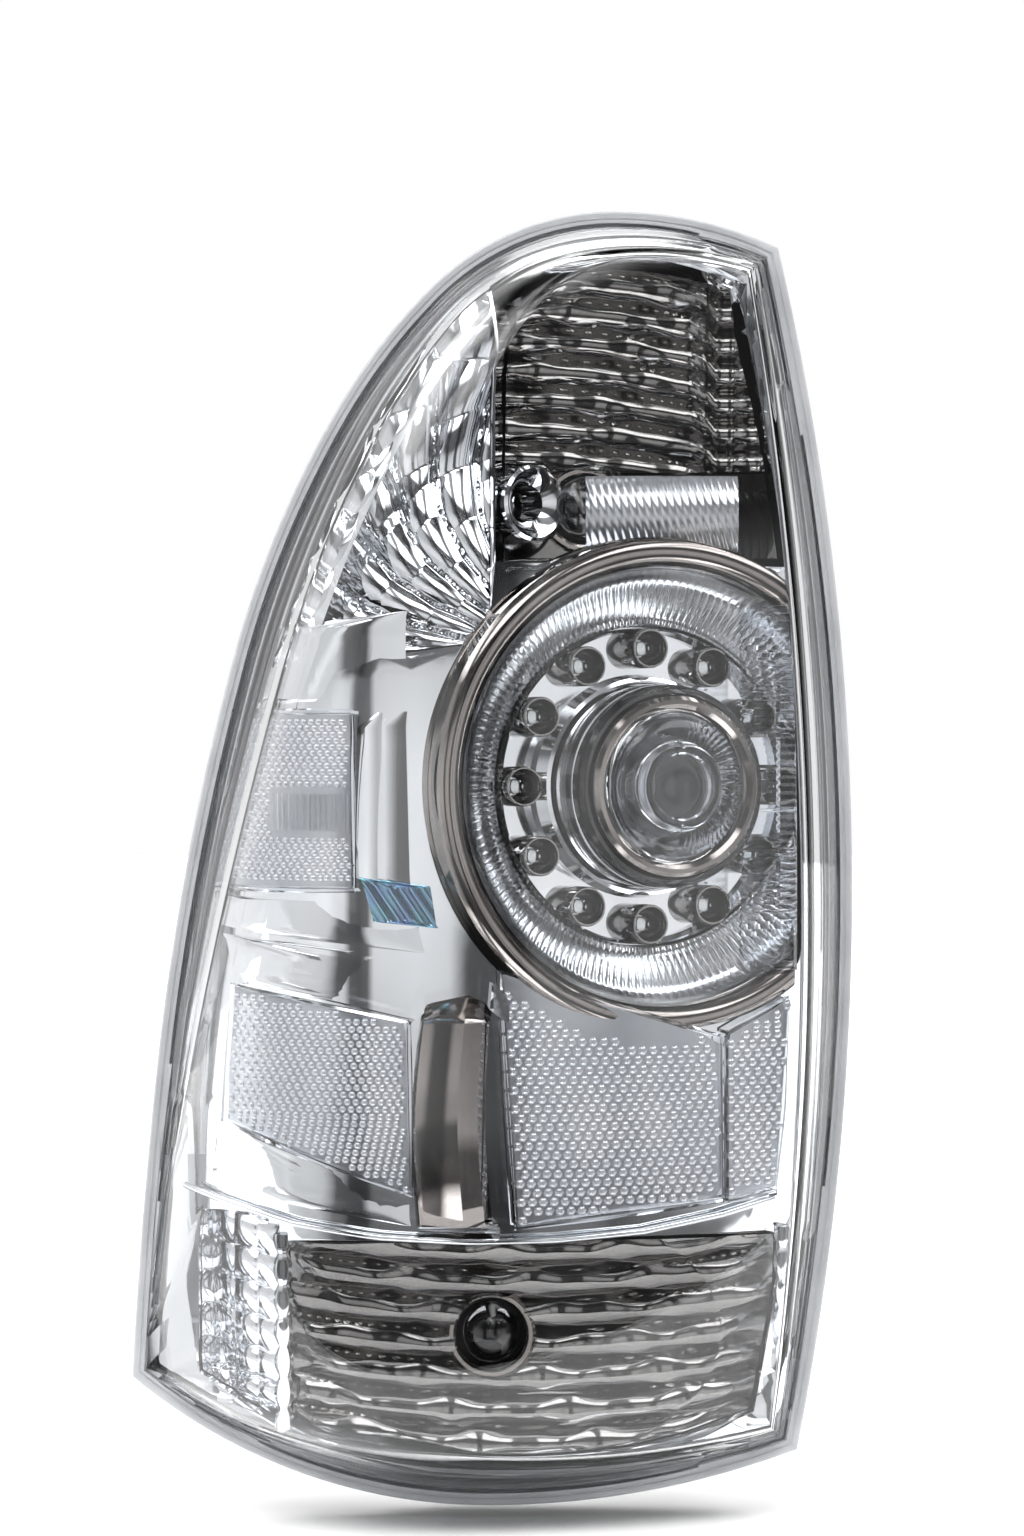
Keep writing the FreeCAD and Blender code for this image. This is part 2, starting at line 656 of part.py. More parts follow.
def build_ring():
    """The chromed ring, its carrier, the fluted dish, and the LED board with its cups."""
    inner, outer, front = cell("ring_inner"), cell("ring_outer"), cell("ring_front")
    ring = ring_body("ring", [(inner, -2.8), (outer, -2.8), (outer, front + 6.0), (outer - 2.0, front + 1.6),
                              (inner + 3.4, front), (inner + 1.0, front + 1.4), (inner, front + 5.0)])
    trimmed("chrome_ring", ring)
    dish = ring_body("dish", [(52.5, -5.0), (54.0, -3.4), (68.0, -9.6), (68.0, -2.8), (71.6, -2.8),
                              (71.6, -14.0), (70.0, -14.0)])
    trimmed("fluted_dish", dish)
    carrier = ring_body("carrier", [(30.0, 8.2), (66.0, 8.2), (66.0, -2.6), (80.0, -2.6), (80.0, -0.6),
                                    (68.0, -0.6), (68.0, 10.2), (30.0, 10.2)])
    tubes, hollows = [], []
    for spot in carrier_leg_places():
        tube, hollow = leg(spot.x, spot.z, spot.y - 8.0)
        tubes.append(tube)
        hollows += hollow
    legs = common([fuse(tubes), ring_rod(100.0, -2.6, 90.0)])
    trimmed("ring_carrier", cut(fuse([carrier, legs]), hollows + build_loom()))
    y, thick = cell("board_y"), cell("board_thick")
    board = ring_body("board", [(33.0, y), (62.0, y), (62.0, y + thick), (33.0, y + thick)])
    trimmed("led_board", board)
    cups = ring_body("cup_plate", [(33.2, -4.0), (52.0, -4.0), (52.0, y - 0.2), (33.2, y - 0.2)])
    at, rotation = ring_frame()
    tools, leds, resistors = [], [], []
    for i in range(int(num("led_count"))):
        angle = i * 360.0 / num("led_count")
        x, z = around(num("led_pitch"), angle)
        cone = doc.addObject("Part::Cone", "cup")
        cone.Radius1, cone.Radius2, cone.Height = 6.3, 3.1, 10.2
        spot = ring_point(x, -4.2, z)
        tools.append(place(cone, (spot.x, spot.y, spot.z), rotation.multiply(ALONG_Y)))
        leds.append(led(x, z))
        x, z = around(57.5, angle + 15.0)
        if ring_point(x, 5.4, z).x < num("trim_x") - 4:
            chip = box((0, 0, 0), (1.6, 0.8, 3.2))
            turn = rotation.multiply(Rotation(Vector(0, -1, 0), angle + 15.0))
            spot = ring_point(x, 5.2, z)
            resistors.append(place(chip, (spot.x, spot.y, spot.z), turn))
    node("led_cup_plate", cut(cups, tools))
    node("led_emitters", group(leds))
    node("board_resistors", group(resistors))


def led(x, z):
    """A round LED with its flange, standing on the board."""
    at, rotation = ring_frame()
    spot = ring_point(x, 0, z)
    r, y = cell("led_radius"), cell("board_y")
    return turned("led", [(0, y), (r + 0.4, y), (r + 0.4, y - 1.0), (r, y - 1.0), (r, y - 6.0),
                          (r - 0.7, y - 7.6), (0, y - 8.4)], (spot.x, spot.y, spot.z), rotation)


def build_centre():
    """The projecting middle lamp: clear sleeve, dark ring, lens and cone reflector."""
    node("centre_sleeve", ring_body("sleeve", [(30.2, -4.2), (33.0, -4.2), (33.0, -20.0), (32.0, -23.5),
                                               (30.6, -24.5), (30.2, -23.5)]))
    node("centre_ring", ring_body("dark_ring", [(24.4, -19.0), (30.0, -19.0), (30.0, -24.0), (28.0, -26.6),
                                                (25.2, -26.6), (24.4, -25.0)]))
    node("centre_lens", ring_body("lens", [(0, -19.6), (13.0, -20.6), (13.0, -18.0), (24.2, -18.0),
                                           (24.2, -23.6), (20.0, -27.0), (13.0, -29.0), (7.0, -30.0),
                                           (0, -30.4)]))
    node("centre_reflector", ring_body("cone", [(28.4, -17.8), (29.9, -17.8), (12.0, 18.0), (9.6, 22.0),
                                                (9.0, 20.4), (10.4, 17.6)]))


def build_connector():
    """The LED board's plug-in connector on the back wall, its blades and its loom."""
    x, z = CONNECTOR
    body = box((x - 13.0, -9.0, z - 8.0), (26.0, 21.0, 16.0))
    flange = box((x - 16.0, -4.0, z - 11.0), (32.0, 2.0, 22.0))
    cavity = box((x - 10.8, -2.0, z - 5.8), (21.6, 15.0, 11.6))
    blades = [box((x + i * 7.0 - 1.4, -14.0, z - 0.4), (2.8, 17.0, 0.8)) for i in (-1, 0, 1)]
    node("led_connector", cut(fuse([body, flange]), [cavity] + blades))
    again = [box((x + i * 7.0 - 1.4, -14.0, z - 0.4), (2.8, 17.0, 0.8)) for i in (-1, 0, 1)]
    node("connector_blades", group(again))


def connector_hole():
    """The hole that the LED connector is pressed into."""
    x, z = CONNECTOR
    return box((x - 13.0, -12.0, z - 8.0), (26.0, 16.0, 16.0))


def tube_path(points):
    """Straight runs with a tangent arc at each inner point."""
    edges, start = [], points[0]
    for before, here, after in zip(points, points[1:], points[2:]):
        a, b = (before - here), (after - here)
        half = math.pi / 2 - a.getAngle(b) / 2
        cutback = 0.45 * min(a.Length, b.Length)
        radius = cutback / math.tan(half)
        a.normalize()
        b.normalize()
        first, last = here + a * cutback, here + b * cutback
        inward = a + b
        inward.normalize()
        middle = here + inward * (radius / math.cos(half) - radius)
        edges += [Part.LineSegment(start, first).toShape(), Part.Arc(first, middle, last).toShape()]
        start = last
    edges.append(Part.LineSegment(start, points[-1]).toShape())
    return Part.Wire(edges)


def tube(points, radius):
    """A round wire of this radius along a path of points."""
    path = tube_path(points)
    start = path.Edges[0]
    direction = start.tangentAt(start.FirstParameter)
    circle = Part.Wire(Part.makeCircle(radius, points[0], direction))
    return path.makePipeShell([circle], True, True)


def build_loom():
    """Three short wires from the connector's blades to the LED board; returns their carrier holes."""
    x, z = CONNECTOR
    wires = []
    board_back = num("board_y") + num("board_thick")
    for i in (-1, 0, 1):
        start = Vector(x + i * 7.0, -14.0, z)
        end = ring_point(8.0 + i * 5.0, board_back, 57.0)
        back = ring_vector()
        points = [start, start + Vector(0, -7, 0), end + back * 9, end]
        wires.append(blank(tube(points, 0.9)))
    holes = [blank(tube([ring_point(8.0 + i * 5.0, board_back - 1, 57.0),
                         ring_point(8.0 + i * 5.0, board_back + 12, 57.0)], 1.6)) for i in (-1, 0, 1)]
    node("led_loom", group(wires))
    return holes


# ---------------------------------------------------------------- bulbs and holders

def build_holder(seat):
    """A twist-lock holder with its bayonet lugs, plug socket, seal ring and blades."""
    k, neck = seat.scale, cell("neck_radius")
    neck_long, thick, grip = cell("neck_long"), cell("grip_thick"), cell("grip_radius")
    _, _, half_w, half_h = BULBS[seat.name]
    body = turned(seat.name + "_turned", [
        (0, -k * neck_long), (k * neck, -k * neck_long), (k * neck, 1.5), (k * grip, 1.5),
        (k * grip, size(1.5) + thick), (k * 11.0, size(1.5) + thick), (k * 11.0, size(1.5) + thick + 2.0),
        (0, size(1.5) + thick + 2.0)])
    adds = [body]
    reach = k * (neck + cell("lug_reach") - 0.2)
    low, high = -4.4 - 2.8, -4.4
    for angle in (0.0, 120.0, 240.0):
        adds.append(bare_sector(reach, low, high, angle, cell("lug_angle")))
    top = 4.5
    plug_w, plug_h, plug_long = k * 11.0, k * 7.5, 17.0
    adds.append(box((-plug_w, top, -plug_h), (plug_w * 2.0, plug_long, plug_h * 2.0)))
    adds += [box((-1.4, top, -k * 16.0), (2.8, 7.0, k * 32.0))]
    wall = 1.6
    slot_w, slot_h = half_w + 1.2, half_h + 0.35
    takes = [
        box((-slot_w, -k.value * 14.0 - 1.0, -slot_h), (2 * slot_w, k.value * 14.0 - 0.5, 2 * slot_h)),
        box((-plug_w + wall, top + 5.0, -plug_h + wall),
            (plug_w * 2.0 - 2 * wall, plug_long, plug_h * 2.0 - 2 * wall)),
    ]
    node(seat.name + "_holder", seat.local(cut(fuse(adds), takes + blades(seat))))
    node(seat.name + "_holder_blades", seat.local(group(blades(seat))))
    seal_in, seal_out = k * (neck + 0.8), k * (grip - 0.4)
    seal = turned(seat.name + "_seal", [(seal_in, 0.0), (seal_out, 0.0), (seal_out, 1.5), (seal_in, 1.5)])
    node(seat.name + "_holder_seal", seat.local(seal))


def bare_sector(radius, start, end, angle, wide):
    """A wedge about the Y axis at the origin."""
    made = doc.addObject("Part::Cylinder", "lug")
    made.setExpression("Radius", size(radius).text)
    made.setExpression("Height", size(end - start).text)
    made.setExpression("Angle", size(wide).text)
    spin = Rotation(Vector(0, 0, 1), angle - size(wide).value / 2)
    return place(made, (0, start, 0), ALONG_Y.multiply(spin))


def blades(seat):
    """Two contact blades, from beside the bulb's base out into the plug socket."""
    _, _, half_w, _ = BULBS[seat.name]
    k = seat.scale.value
    return [
        box((side * (half_w + 0.65) - 0.35, -k * 11.0, -1.5), (0.7, k * 11.0 + 13.0, 3.0))
        for side in (-1, 1)
    ]


def build_bulb(seat):
    """A wedge-base bulb: moulded base, glass envelope, and filament on its lead wires."""
    glass_r, glass_long, half_w, half_h = BULBS[seat.name]
    k = seat.scale.value
    neck = k * 14.0
    collar = 2.4
    base = fuse([box((-half_w, -neck, -half_h), (2 * half_w, neck - 2.5, 2 * half_h)),
                 rod(glass_r - 0.4, collar, (0, -neck - collar, 0))])
    node(seat.name + "_bulb_base", seat.local(base))
    foot = -neck - collar
    tip = foot - glass_long
    glass = turned(seat.name + "_glass", bulb_profile(glass_r, foot, tip))
    node(seat.name + "_bulb_glass", seat.local(glass))
    pinch = foot - 4.0
    light = foot - glass_long * 0.55
    spread = glass_r * 0.38
    parts = [rod(0.35, pinch - light, (side * spread, light, 0)) for side in (-1, 1)]
    coil = rod(0.55, 2 * spread + 1.2, (-spread - 0.6, light - 0.2, 0), Rotation(Vector(0, 1, 0), 90))
    node(seat.name + "_bulb_filament", seat.local(fuse(parts + [coil])))


def bulb_profile(radius, foot, tip):
    """Half the section of a bulb's envelope: thick pinch, thin wall, rounded tip."""
    wall, steps = 0.8, 6
    outer, inner = [], []
    for i in range(steps + 1):
        angle = math.radians(90.0 * i / steps)
        outer.append((radius * math.cos(angle), tip + radius - radius * math.sin(angle)))
        r = radius - wall
        inner.append((r * math.cos(angle), tip + radius - r * math.sin(angle)))
    closing = [(inner[0][0], foot - 4.0), (0, foot - 4.0)]
    return [(0, foot), (radius - 0.6, foot)] + outer + inner[::-1] + closing


# ---------------------------------------------------------------- build and export

def check(objects):
    """Stops if any object failed or any sub-part is not a sound solid."""
    for obj in doc.Objects:
        if {"Invalid", "Error"} & set(obj.State):
            raise RuntimeError("failed: %s (%s) %s" % (obj.Name, obj.Label, obj.State))
    for name, obj in objects.items():
        shape = obj.Shape
        if shape.isNull() or not shape.isValid() or not shape.Solids:
            raise RuntimeError("%s has no sound solid" % name)
        print("%-26s %2d solids %10.1f mm3" % (name, len(shape.Solids), shape.Volume))


def main():
    """Builds every sub-part and writes one STEP file for each."""
    build_lens()
    build_seal()
    build_housing()
    build_studs()
    build_vents()
    build_bezel()
    build_panels()
    build_reflectors()
    build_ring()
    build_centre()
    build_connector()
    node("carrier_screws", group([screw(p.x, p.z) for p in carrier_leg_places()]))
    node("bezel_screws", group([screw(x, z) for x, z in BEZEL_LEGS]))
    for seat in seats():
        build_holder(seat)
        build_bulb(seat)
    doc.recompute()
    check(NODES)
    os.makedirs("parts", exist_ok=True)
    for name, obj in NODES.items():
        obj.Shape.exportStep("parts/%s.step" % name)


main()
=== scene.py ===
"""Visual model of a corner lamp: clear lens, metallised chambers, round LED unit and four bulbs.

Sizes are millimetres in the classes and metres in Blender. X runs to the right, Y to the back and
Z up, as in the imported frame, and every mesh holds its own place.
"""

from __future__ import annotations

import json
import logging
import math
from dataclasses import dataclass, field
from enum import Enum
from typing import Callable, Sequence

import bmesh
import bpy
from mathutils import Matrix, Vector
from mathutils.geometry import delaunay_2d_cdt

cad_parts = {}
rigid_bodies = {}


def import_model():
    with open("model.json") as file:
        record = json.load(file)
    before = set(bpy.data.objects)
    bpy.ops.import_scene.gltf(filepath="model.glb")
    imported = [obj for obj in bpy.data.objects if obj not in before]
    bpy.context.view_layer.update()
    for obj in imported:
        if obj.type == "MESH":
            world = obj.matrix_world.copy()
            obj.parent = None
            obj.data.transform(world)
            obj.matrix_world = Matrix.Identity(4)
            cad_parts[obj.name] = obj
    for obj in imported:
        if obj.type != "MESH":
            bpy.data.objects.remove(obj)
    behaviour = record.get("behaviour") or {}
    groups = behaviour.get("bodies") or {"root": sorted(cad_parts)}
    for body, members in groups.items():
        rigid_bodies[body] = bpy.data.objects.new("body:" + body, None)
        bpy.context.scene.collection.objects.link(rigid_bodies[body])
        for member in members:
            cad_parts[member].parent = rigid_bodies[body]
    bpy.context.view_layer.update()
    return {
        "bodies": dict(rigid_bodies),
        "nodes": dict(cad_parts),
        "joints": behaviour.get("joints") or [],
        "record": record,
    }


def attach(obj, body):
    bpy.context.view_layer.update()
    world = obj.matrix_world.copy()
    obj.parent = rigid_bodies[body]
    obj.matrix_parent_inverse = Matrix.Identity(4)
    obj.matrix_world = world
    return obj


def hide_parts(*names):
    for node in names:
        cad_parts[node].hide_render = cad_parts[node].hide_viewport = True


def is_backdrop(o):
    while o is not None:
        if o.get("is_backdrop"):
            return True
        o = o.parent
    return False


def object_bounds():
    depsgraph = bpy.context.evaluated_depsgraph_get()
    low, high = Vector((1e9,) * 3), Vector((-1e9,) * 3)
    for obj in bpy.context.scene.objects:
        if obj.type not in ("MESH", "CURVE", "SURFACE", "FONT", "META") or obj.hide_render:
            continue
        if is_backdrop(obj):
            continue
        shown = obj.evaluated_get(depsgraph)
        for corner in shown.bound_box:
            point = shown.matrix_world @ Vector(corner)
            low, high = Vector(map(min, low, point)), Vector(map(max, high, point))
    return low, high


LOG = logging.getLogger("corner_lamp")
MM = 0.001
LAMP = "lamp"
SEED = 7
MERGE = 0.002
SHEET = 1.4

Point2 = tuple[float, float]
Point3 = tuple[float, float, float]
Height = Callable[[float, float], float]
Stops = tuple[tuple[float, float], ...]


class Slot(Enum):
    """The record's material slots."""

    CLEAR = "clear_lens"
    SEALANT = "sealant"
    HOUSING = "housing"
    BEZEL = "bezel"
    REFLECTOR = "reflector"
    SMOKED = "smoked_chrome"
    PRISM = "clear_prism"
    BOARD = "board"
    LED = "led"
    CHIP = "chip"
    BULB_GLASS = "bulb_glass"
    BULB_BASE = "bulb_base"
    FILAMENT = "filament"
    HOLDER = "holder"
    SEAL = "seal"
    CONTACT = "contact"
    STEEL = "steel"
    LOOM = "loom"
    CONNECTOR = "connector"


# ------------------------------------------------------------------ node building


class Nodes:
    """A short way to add and link nodes in one tree."""

    def __init__(self, tree: bpy.types.NodeTree) -> None:
        """Keeps the tree.

        Args:
            tree: The node tree that nodes are added to.
        """
        self.tree = tree

    def add(self, kind: str, **settings: object) -> bpy.types.Node:
        """Adds a node.

        Args:
            kind: Blender's name for the node type.
            settings: Properties to set on it.

        Returns:
            The new node.
        """
        node = self.tree.nodes.new(kind)
        for name, value in settings.items():
            setattr(node, name, value)
        return node

    def join(self, source: bpy.types.NodeSocket, target: bpy.types.NodeSocket) -> None:
        """Links one socket to another."""
        self.tree.links.new(source, target)

    def math(self, operation: str, a: object, b: object = 0.0, clamp: bool = False) -> bpy.types.NodeSocket:
        """Adds a Math node.

        Args:
            operation: Its operation.
            a: A number or a socket.
            b: A number or a socket.
            clamp: Whether to keep the result between 0 and 1.

        Returns:
            Its output socket.
        """
        node = self.add("ShaderNodeMath", operation=operation, use_clamp=clamp)
        for index, value in enumerate((a, b)):
            if isinstance(value, bpy.types.NodeSocket):
                self.join(value, node.inputs[index])
            else:
                node.inputs[index].default_value = value
        return node.outputs[0]

    def ramp(self, source: bpy.types.NodeSocket, stops: Stops) -> bpy.types.NodeSocket:
        """Adds a grey colour ramp.

        Args:
            source: What drives the ramp, from 0 to 1.
            stops: Each stop's place and grey value.

        Returns:
            Its colour socket.
        """
        node = self.add("ShaderNodeValToRGB")
        elements = node.color_ramp.elements
        while len(elements) < len(stops):
            elements.new(0.5)
        for element, (place, grey) in zip(elements, stops):
            element.position = place
            element.color = (grey, grey, grey, 1.0)
        self.join(source, node.inputs[0])
        return node.outputs[0]


def make_handling_group() -> bpy.types.NodeTree:
    """Builds the shared effect of handling: faint smears, fine dust and a slow drift of colour.

    Returns:
        The node group, with inputs Colour, Shade, Scale, Smear and Roughness, and outputs Colour,
        Roughness and Height.
    """
    group = bpy.data.node_groups.new("handling", "ShaderNodeTree")
    face = group.interface
    for name, kind, value in (
        ("Colour", "NodeSocketColor", (0.8, 0.8, 0.8, 1.0)),
        ("Shade", "NodeSocketColor", (0.6, 0.6, 0.6, 1.0)),
        ("Scale", "NodeSocketFloat", 60.0),
        ("Smear", "NodeSocketFloat", 0.05),
        ("Roughness", "NodeSocketFloat", 0.1),
    ):
        socket = face.new_socket(name=name, in_out="INPUT", socket_type=kind)
        socket.default_value = value
    face.new_socket(name="Colour", in_out="OUTPUT", socket_type="NodeSocketColor")
    face.new_socket(name="Roughness", in_out="OUTPUT", socket_type="NodeSocketFloat")
    face.new_socket(name="Height", in_out="OUTPUT", socket_type="NodeSocketFloat")
    n = Nodes(group)
    start, end = n.add("NodeGroupInput"), n.add("NodeGroupOutput")
    place = n.add("ShaderNodeTexCoord").outputs["Object"]
    slow = n.add("ShaderNodeTexNoise")
    slow.inputs["Detail"].default_value = 3.0
    fine = n.add("ShaderNodeTexNoise")
    fine.inputs["Detail"].default_value = 2.0
    for noise, times in ((slow, 1.0), (fine, 28.0)):
        n.join(place, noise.inputs["Vector"])
        n.join(n.math("MULTIPLY", start.outputs["Scale"], times), noise.inputs["Scale"])
    drift = n.ramp(slow.outputs["Fac"], ((0.32, 0.0), (0.68, 1.0)))
    mix = n.add("ShaderNodeMix", data_type="RGBA")
    n.join(drift, mix.inputs["Factor"])
    n.join(start.outputs["Colour"], mix.inputs["A"])
    n.join(start.outputs["Shade"], mix.inputs["B"])
    n.join(mix.outputs["Result"], end.inputs["Colour"])
    smear = n.math("MULTIPLY", drift, start.outputs["Smear"])
    n.join(n.math("ADD", smear, start.outputs["Roughness"], clamp=True), end.inputs["Roughness"])
    n.join(fine.outputs["Fac"], end.inputs["Height"])
    return group


@dataclass(frozen=True)
class Finish:
    """One finish: a Principled shader fed by the handling group."""

    name: str
    colour: Point3
    shade: Point3
    roughness: float = 0.3
    smear: float = 0.08
    scale: float = 60.0
    bump: float = 0.0
    metallic: float = 0.0
    transmission: float = 0.0
    ior: float = 1.49
    coat: float = 0.0

    def build(self, handling: bpy.types.NodeTree) -> bpy.types.Material:
        """Builds the material.

        Args:
            handling: The shared handling group.

        Returns:
            The material.
        """
        material = bpy.data.materials.new(self.name)
        material.use_nodes = True
        n = Nodes(material.node_tree)
        shader = next(x for x in n.tree.nodes if x.type == "BSDF_PRINCIPLED")
        effect = n.add("ShaderNodeGroup", node_tree=handling)
        effect.inputs["Colour"].default_value = (*self.colour, 1.0)
        effect.inputs["Shade"].default_value = (*self.shade, 1.0)
        effect.inputs["Scale"].default_value = self.scale
        effect.inputs["Smear"].default_value = self.smear
        effect.inputs["Roughness"].default_value = self.roughness
        n.join(effect.outputs["Colour"], shader.inputs["Base Color"])
        n.join(effect.outputs["Roughness"], shader.inputs["Roughness"])
        shader.inputs["Metallic"].default_value = self.metallic
        shader.inputs["Transmission Weight"].default_value = self.transmission
        shader.inputs["IOR"].default_value = self.ior
        shader.inputs["Coat Weight"].default_value = self.coat
        shader.inputs["Coat Roughness"].default_value = 0.05
        if self.bump:
            bump = n.add("ShaderNodeBump")
            bump.inputs["Strength"].default_value = self.bump
            bump.inputs["Distance"].default_value = 0.0004
            n.join(effect.outputs["Height"], bump.inputs["Height"])
            n.join(bump.outputs["Normal"], shader.inputs["Normal"])
        return material


FINISHES: dict[Slot, Finish] = {
    Slot.CLEAR: Finish("clear_acrylic", (0.985, 0.99, 1.0), (0.97, 0.98, 0.99), 0.0, 0.012, 22.0,
                       transmission=1.0),
    Slot.SEALANT: Finish("butyl_bead", (0.045, 0.045, 0.05), (0.07, 0.07, 0.07), 0.55, 0.2, 90.0, 0.4),
    Slot.HOUSING: Finish("housing_black", (0.052, 0.053, 0.057), (0.075, 0.076, 0.08), 0.42, 0.16, 45.0,
                         0.35),
    Slot.BEZEL: Finish("bright_metallising", (0.93, 0.94, 0.955), (0.86, 0.88, 0.9), 0.03, 0.05, 30.0,
                       metallic=1.0),
    Slot.REFLECTOR: Finish("reflector_metallising", (0.9, 0.91, 0.93), (0.82, 0.84, 0.87), 0.035, 0.06, 34.0,
                           metallic=1.0),
    Slot.SMOKED: Finish("smoked_chrome", (0.33, 0.32, 0.31), (0.25, 0.242, 0.235), 0.035, 0.04, 30.0,
                        metallic=1.0),
    Slot.PRISM: Finish("prism_acrylic", (0.955, 0.97, 0.99), (0.93, 0.95, 0.98), 0.02, 0.03, 40.0,
                       transmission=1.0),
    Slot.BOARD: Finish("white_mask", (0.82, 0.83, 0.81), (0.74, 0.75, 0.73), 0.35, 0.1, 120.0, 0.1),
    Slot.LED: Finish("led_epoxy", (0.95, 0.96, 0.95), (0.9, 0.92, 0.9), 0.02, 0.02, 80.0, transmission=1.0,
                     ior=1.53),
    Slot.CHIP: Finish("chip_ceramic", (0.05, 0.05, 0.055), (0.09, 0.09, 0.09), 0.45, 0.1, 200.0, 0.2),
    Slot.BULB_GLASS: Finish("bulb_glass", (0.98, 0.985, 0.99), (0.96, 0.97, 0.975), 0.0, 0.01, 60.0,
                            transmission=1.0, ior=1.5),
    Slot.BULB_BASE: Finish("bulb_base_moulding", (0.1, 0.1, 0.105), (0.15, 0.15, 0.15), 0.45, 0.12, 110.0,
                           0.3),
    Slot.FILAMENT: Finish("tungsten", (0.4, 0.39, 0.38), (0.25, 0.24, 0.24), 0.3, 0.2, 400.0, metallic=1.0),
    Slot.HOLDER: Finish("holder_grey", (0.26, 0.27, 0.28), (0.33, 0.34, 0.35), 0.42, 0.14, 70.0, 0.35),
    Slot.SEAL: Finish("silicone_seal", (0.085, 0.085, 0.09), (0.12, 0.12, 0.12), 0.6, 0.15, 90.0, 0.3),
    Slot.CONTACT: Finish("tinned_contact", (0.78, 0.74, 0.6), (0.62, 0.58, 0.45), 0.22, 0.15, 200.0,
                         metallic=1.0),
    Slot.STEEL: Finish("zinc_plate", (0.63, 0.64, 0.67), (0.5, 0.52, 0.55), 0.27, 0.18, 120.0, 0.15,
                       metallic=1.0),
    Slot.LOOM: Finish("wire_insulation", (0.5, 0.05, 0.045), (0.38, 0.035, 0.03), 0.4, 0.15, 80.0, 0.2),
    Slot.CONNECTOR: Finish("connector_moulding", (0.07, 0.07, 0.078), (0.11, 0.11, 0.115), 0.42, 0.14, 70.0,
                           0.3),
}
BLACK_CHROME = Finish("black_chrome", (0.36, 0.335, 0.32), (0.29, 0.265, 0.25), 0.03, 0.03, 26.0,
                      metallic=1.0)
TINT_FINISH = Finish("film_tint", (0.3, 0.68, 0.72), (0.3, 0.42, 0.72), 0.06, 0.05, 90.0, metallic=0.85)
BEAD_FINISH = Finish("prism_beads", (0.94, 0.955, 0.985), (0.86, 0.89, 0.94), 0.12, 0.1, 55.0, metallic=0.6)
DISH_FINISH = Finish("frosted_dish", (0.98, 0.985, 0.99), (0.93, 0.935, 0.94), 0.13, 0.06, 60.0, metallic=1.0)
# The trays' finish: their metallised tone, made darker than the bead finish as painted shade between the
# beads.
SHADED_TRAY_FINISH = Finish("panel_tray", (0.66, 0.68, 0.71), (0.56, 0.58, 0.62), 0.16, 0.1, 55.0, metallic=0.6)
WELD_FINISH = Finish("weld_land", (0.84, 0.85, 0.87), (0.74, 0.75, 0.78), 0.32, 0.1, 60.0, transmission=0.4)
STAGE_FINISH = Finish("pale_floor", (0.93, 0.93, 0.93), (0.91, 0.91, 0.91), 0.7, 0.05, 1.5)


class Paint:
    """All the materials, built once."""

    def __init__(self) -> None:
        """Builds the shared group and every finish."""
        handling = make_handling_group()
        self.slots = {slot: finish.build(handling) for slot, finish in FINISHES.items()}
        self.beads = BEAD_FINISH.build(handling)
        self.tint = TINT_FINISH.build(handling)
        self.black_chrome = BLACK_CHROME.build(handling)
        self.dish = DISH_FINISH.build(handling)
        self.weld = WELD_FINISH.build(handling)
        # The darker tray finish carries painted shade between the beads.
        self.tray = SHADED_TRAY_FINISH.build(handling)
        self.stage = STAGE_FINISH.build(handling)

    def __getitem__(self, slot: Slot) -> bpy.types.Material:
        """The material of a slot."""
        return self.slots[slot]


# ------------------------------------------------------------------ meshes


def finish_mesh(bm: bmesh.types.BMesh, name: str, material: bpy.types.Material, sharp: float = 32.0,
                outward: bool = True) -> bpy.types.Object:
    """Turns a bmesh in millimetres into an object.

    Args:
        bm: The mesh. It is freed.
        name: The object's name.
        material: Its material.
        sharp: Edges that fold by more than this many degrees stay crisp.
        outward: Whether to recalculate the normals.

    Returns:
        The object, at the origin.
    """
    bmesh.ops.remove_doubles(bm, verts=bm.verts, dist=MERGE)
    if outward:
        bmesh.ops.recalc_face_normals(bm, faces=bm.faces)
    bmesh.ops.scale(bm, vec=(MM, MM, MM), verts=bm.verts)
    limit = math.radians(sharp)
    for face in bm.faces:
        face.smooth = True
    for edge in bm.edges:
        if len(edge.link_faces) == 2 and edge.calc_face_angle(0.0) > limit:
            edge.smooth = False
    mesh = bpy.data.meshes.new(name)
    bm.to_mesh(mesh)
    bm.free()
    mesh.materials.append(material)
    piece = bpy.data.objects.new(name, mesh)
    bpy.context.scene.collection.objects.link(piece)
    return piece


def grid_solid(bm: bmesh.types.BMesh, rows: Sequence[Sequence[Point3]], back: Sequence[Sequence[Point3]],
               skip: Callable[[Point3], bool] | None = None) -> None:
    """Adds a closed slab between a front grid and a back grid of the same size.

    Args:
        bm: The mesh to add to.
        rows: The front's points, row by row.
        back: The back's points.
        skip: Optional test of a cell's first corner; a cell that passes is left open.
    """
    tall, wide = len(rows) - 1, len(rows[0]) - 1
    kept = {(j, i) for j in range(tall) for i in range(wide) if not (skip and skip(rows[j][i]))}
    used = {(j + b, i + a) for j, i in kept for a in (0, 1) for b in (0, 1)}
    front = {spot: bm.verts.new(rows[spot[0]][spot[1]]) for spot in sorted(used)}
    rear = {spot: bm.verts.new(back[spot[0]][spot[1]]) for spot in sorted(used)}
    for j, i in sorted(kept):
        corners = [(j, i), (j, i + 1), (j + 1, i + 1), (j + 1, i)]
        bm.faces.new([front[c] for c in corners])
        bm.faces.new([rear[c] for c in reversed(corners)])
        beyond = [(j - 1, i), (j, i + 1), (j + 1, i), (j, i - 1)]
        for a, b, other in zip(corners, corners[1:] + corners[:1], beyond):
            if other not in kept:
                bm.faces.new((front[b], front[a], rear[a], rear[b]))


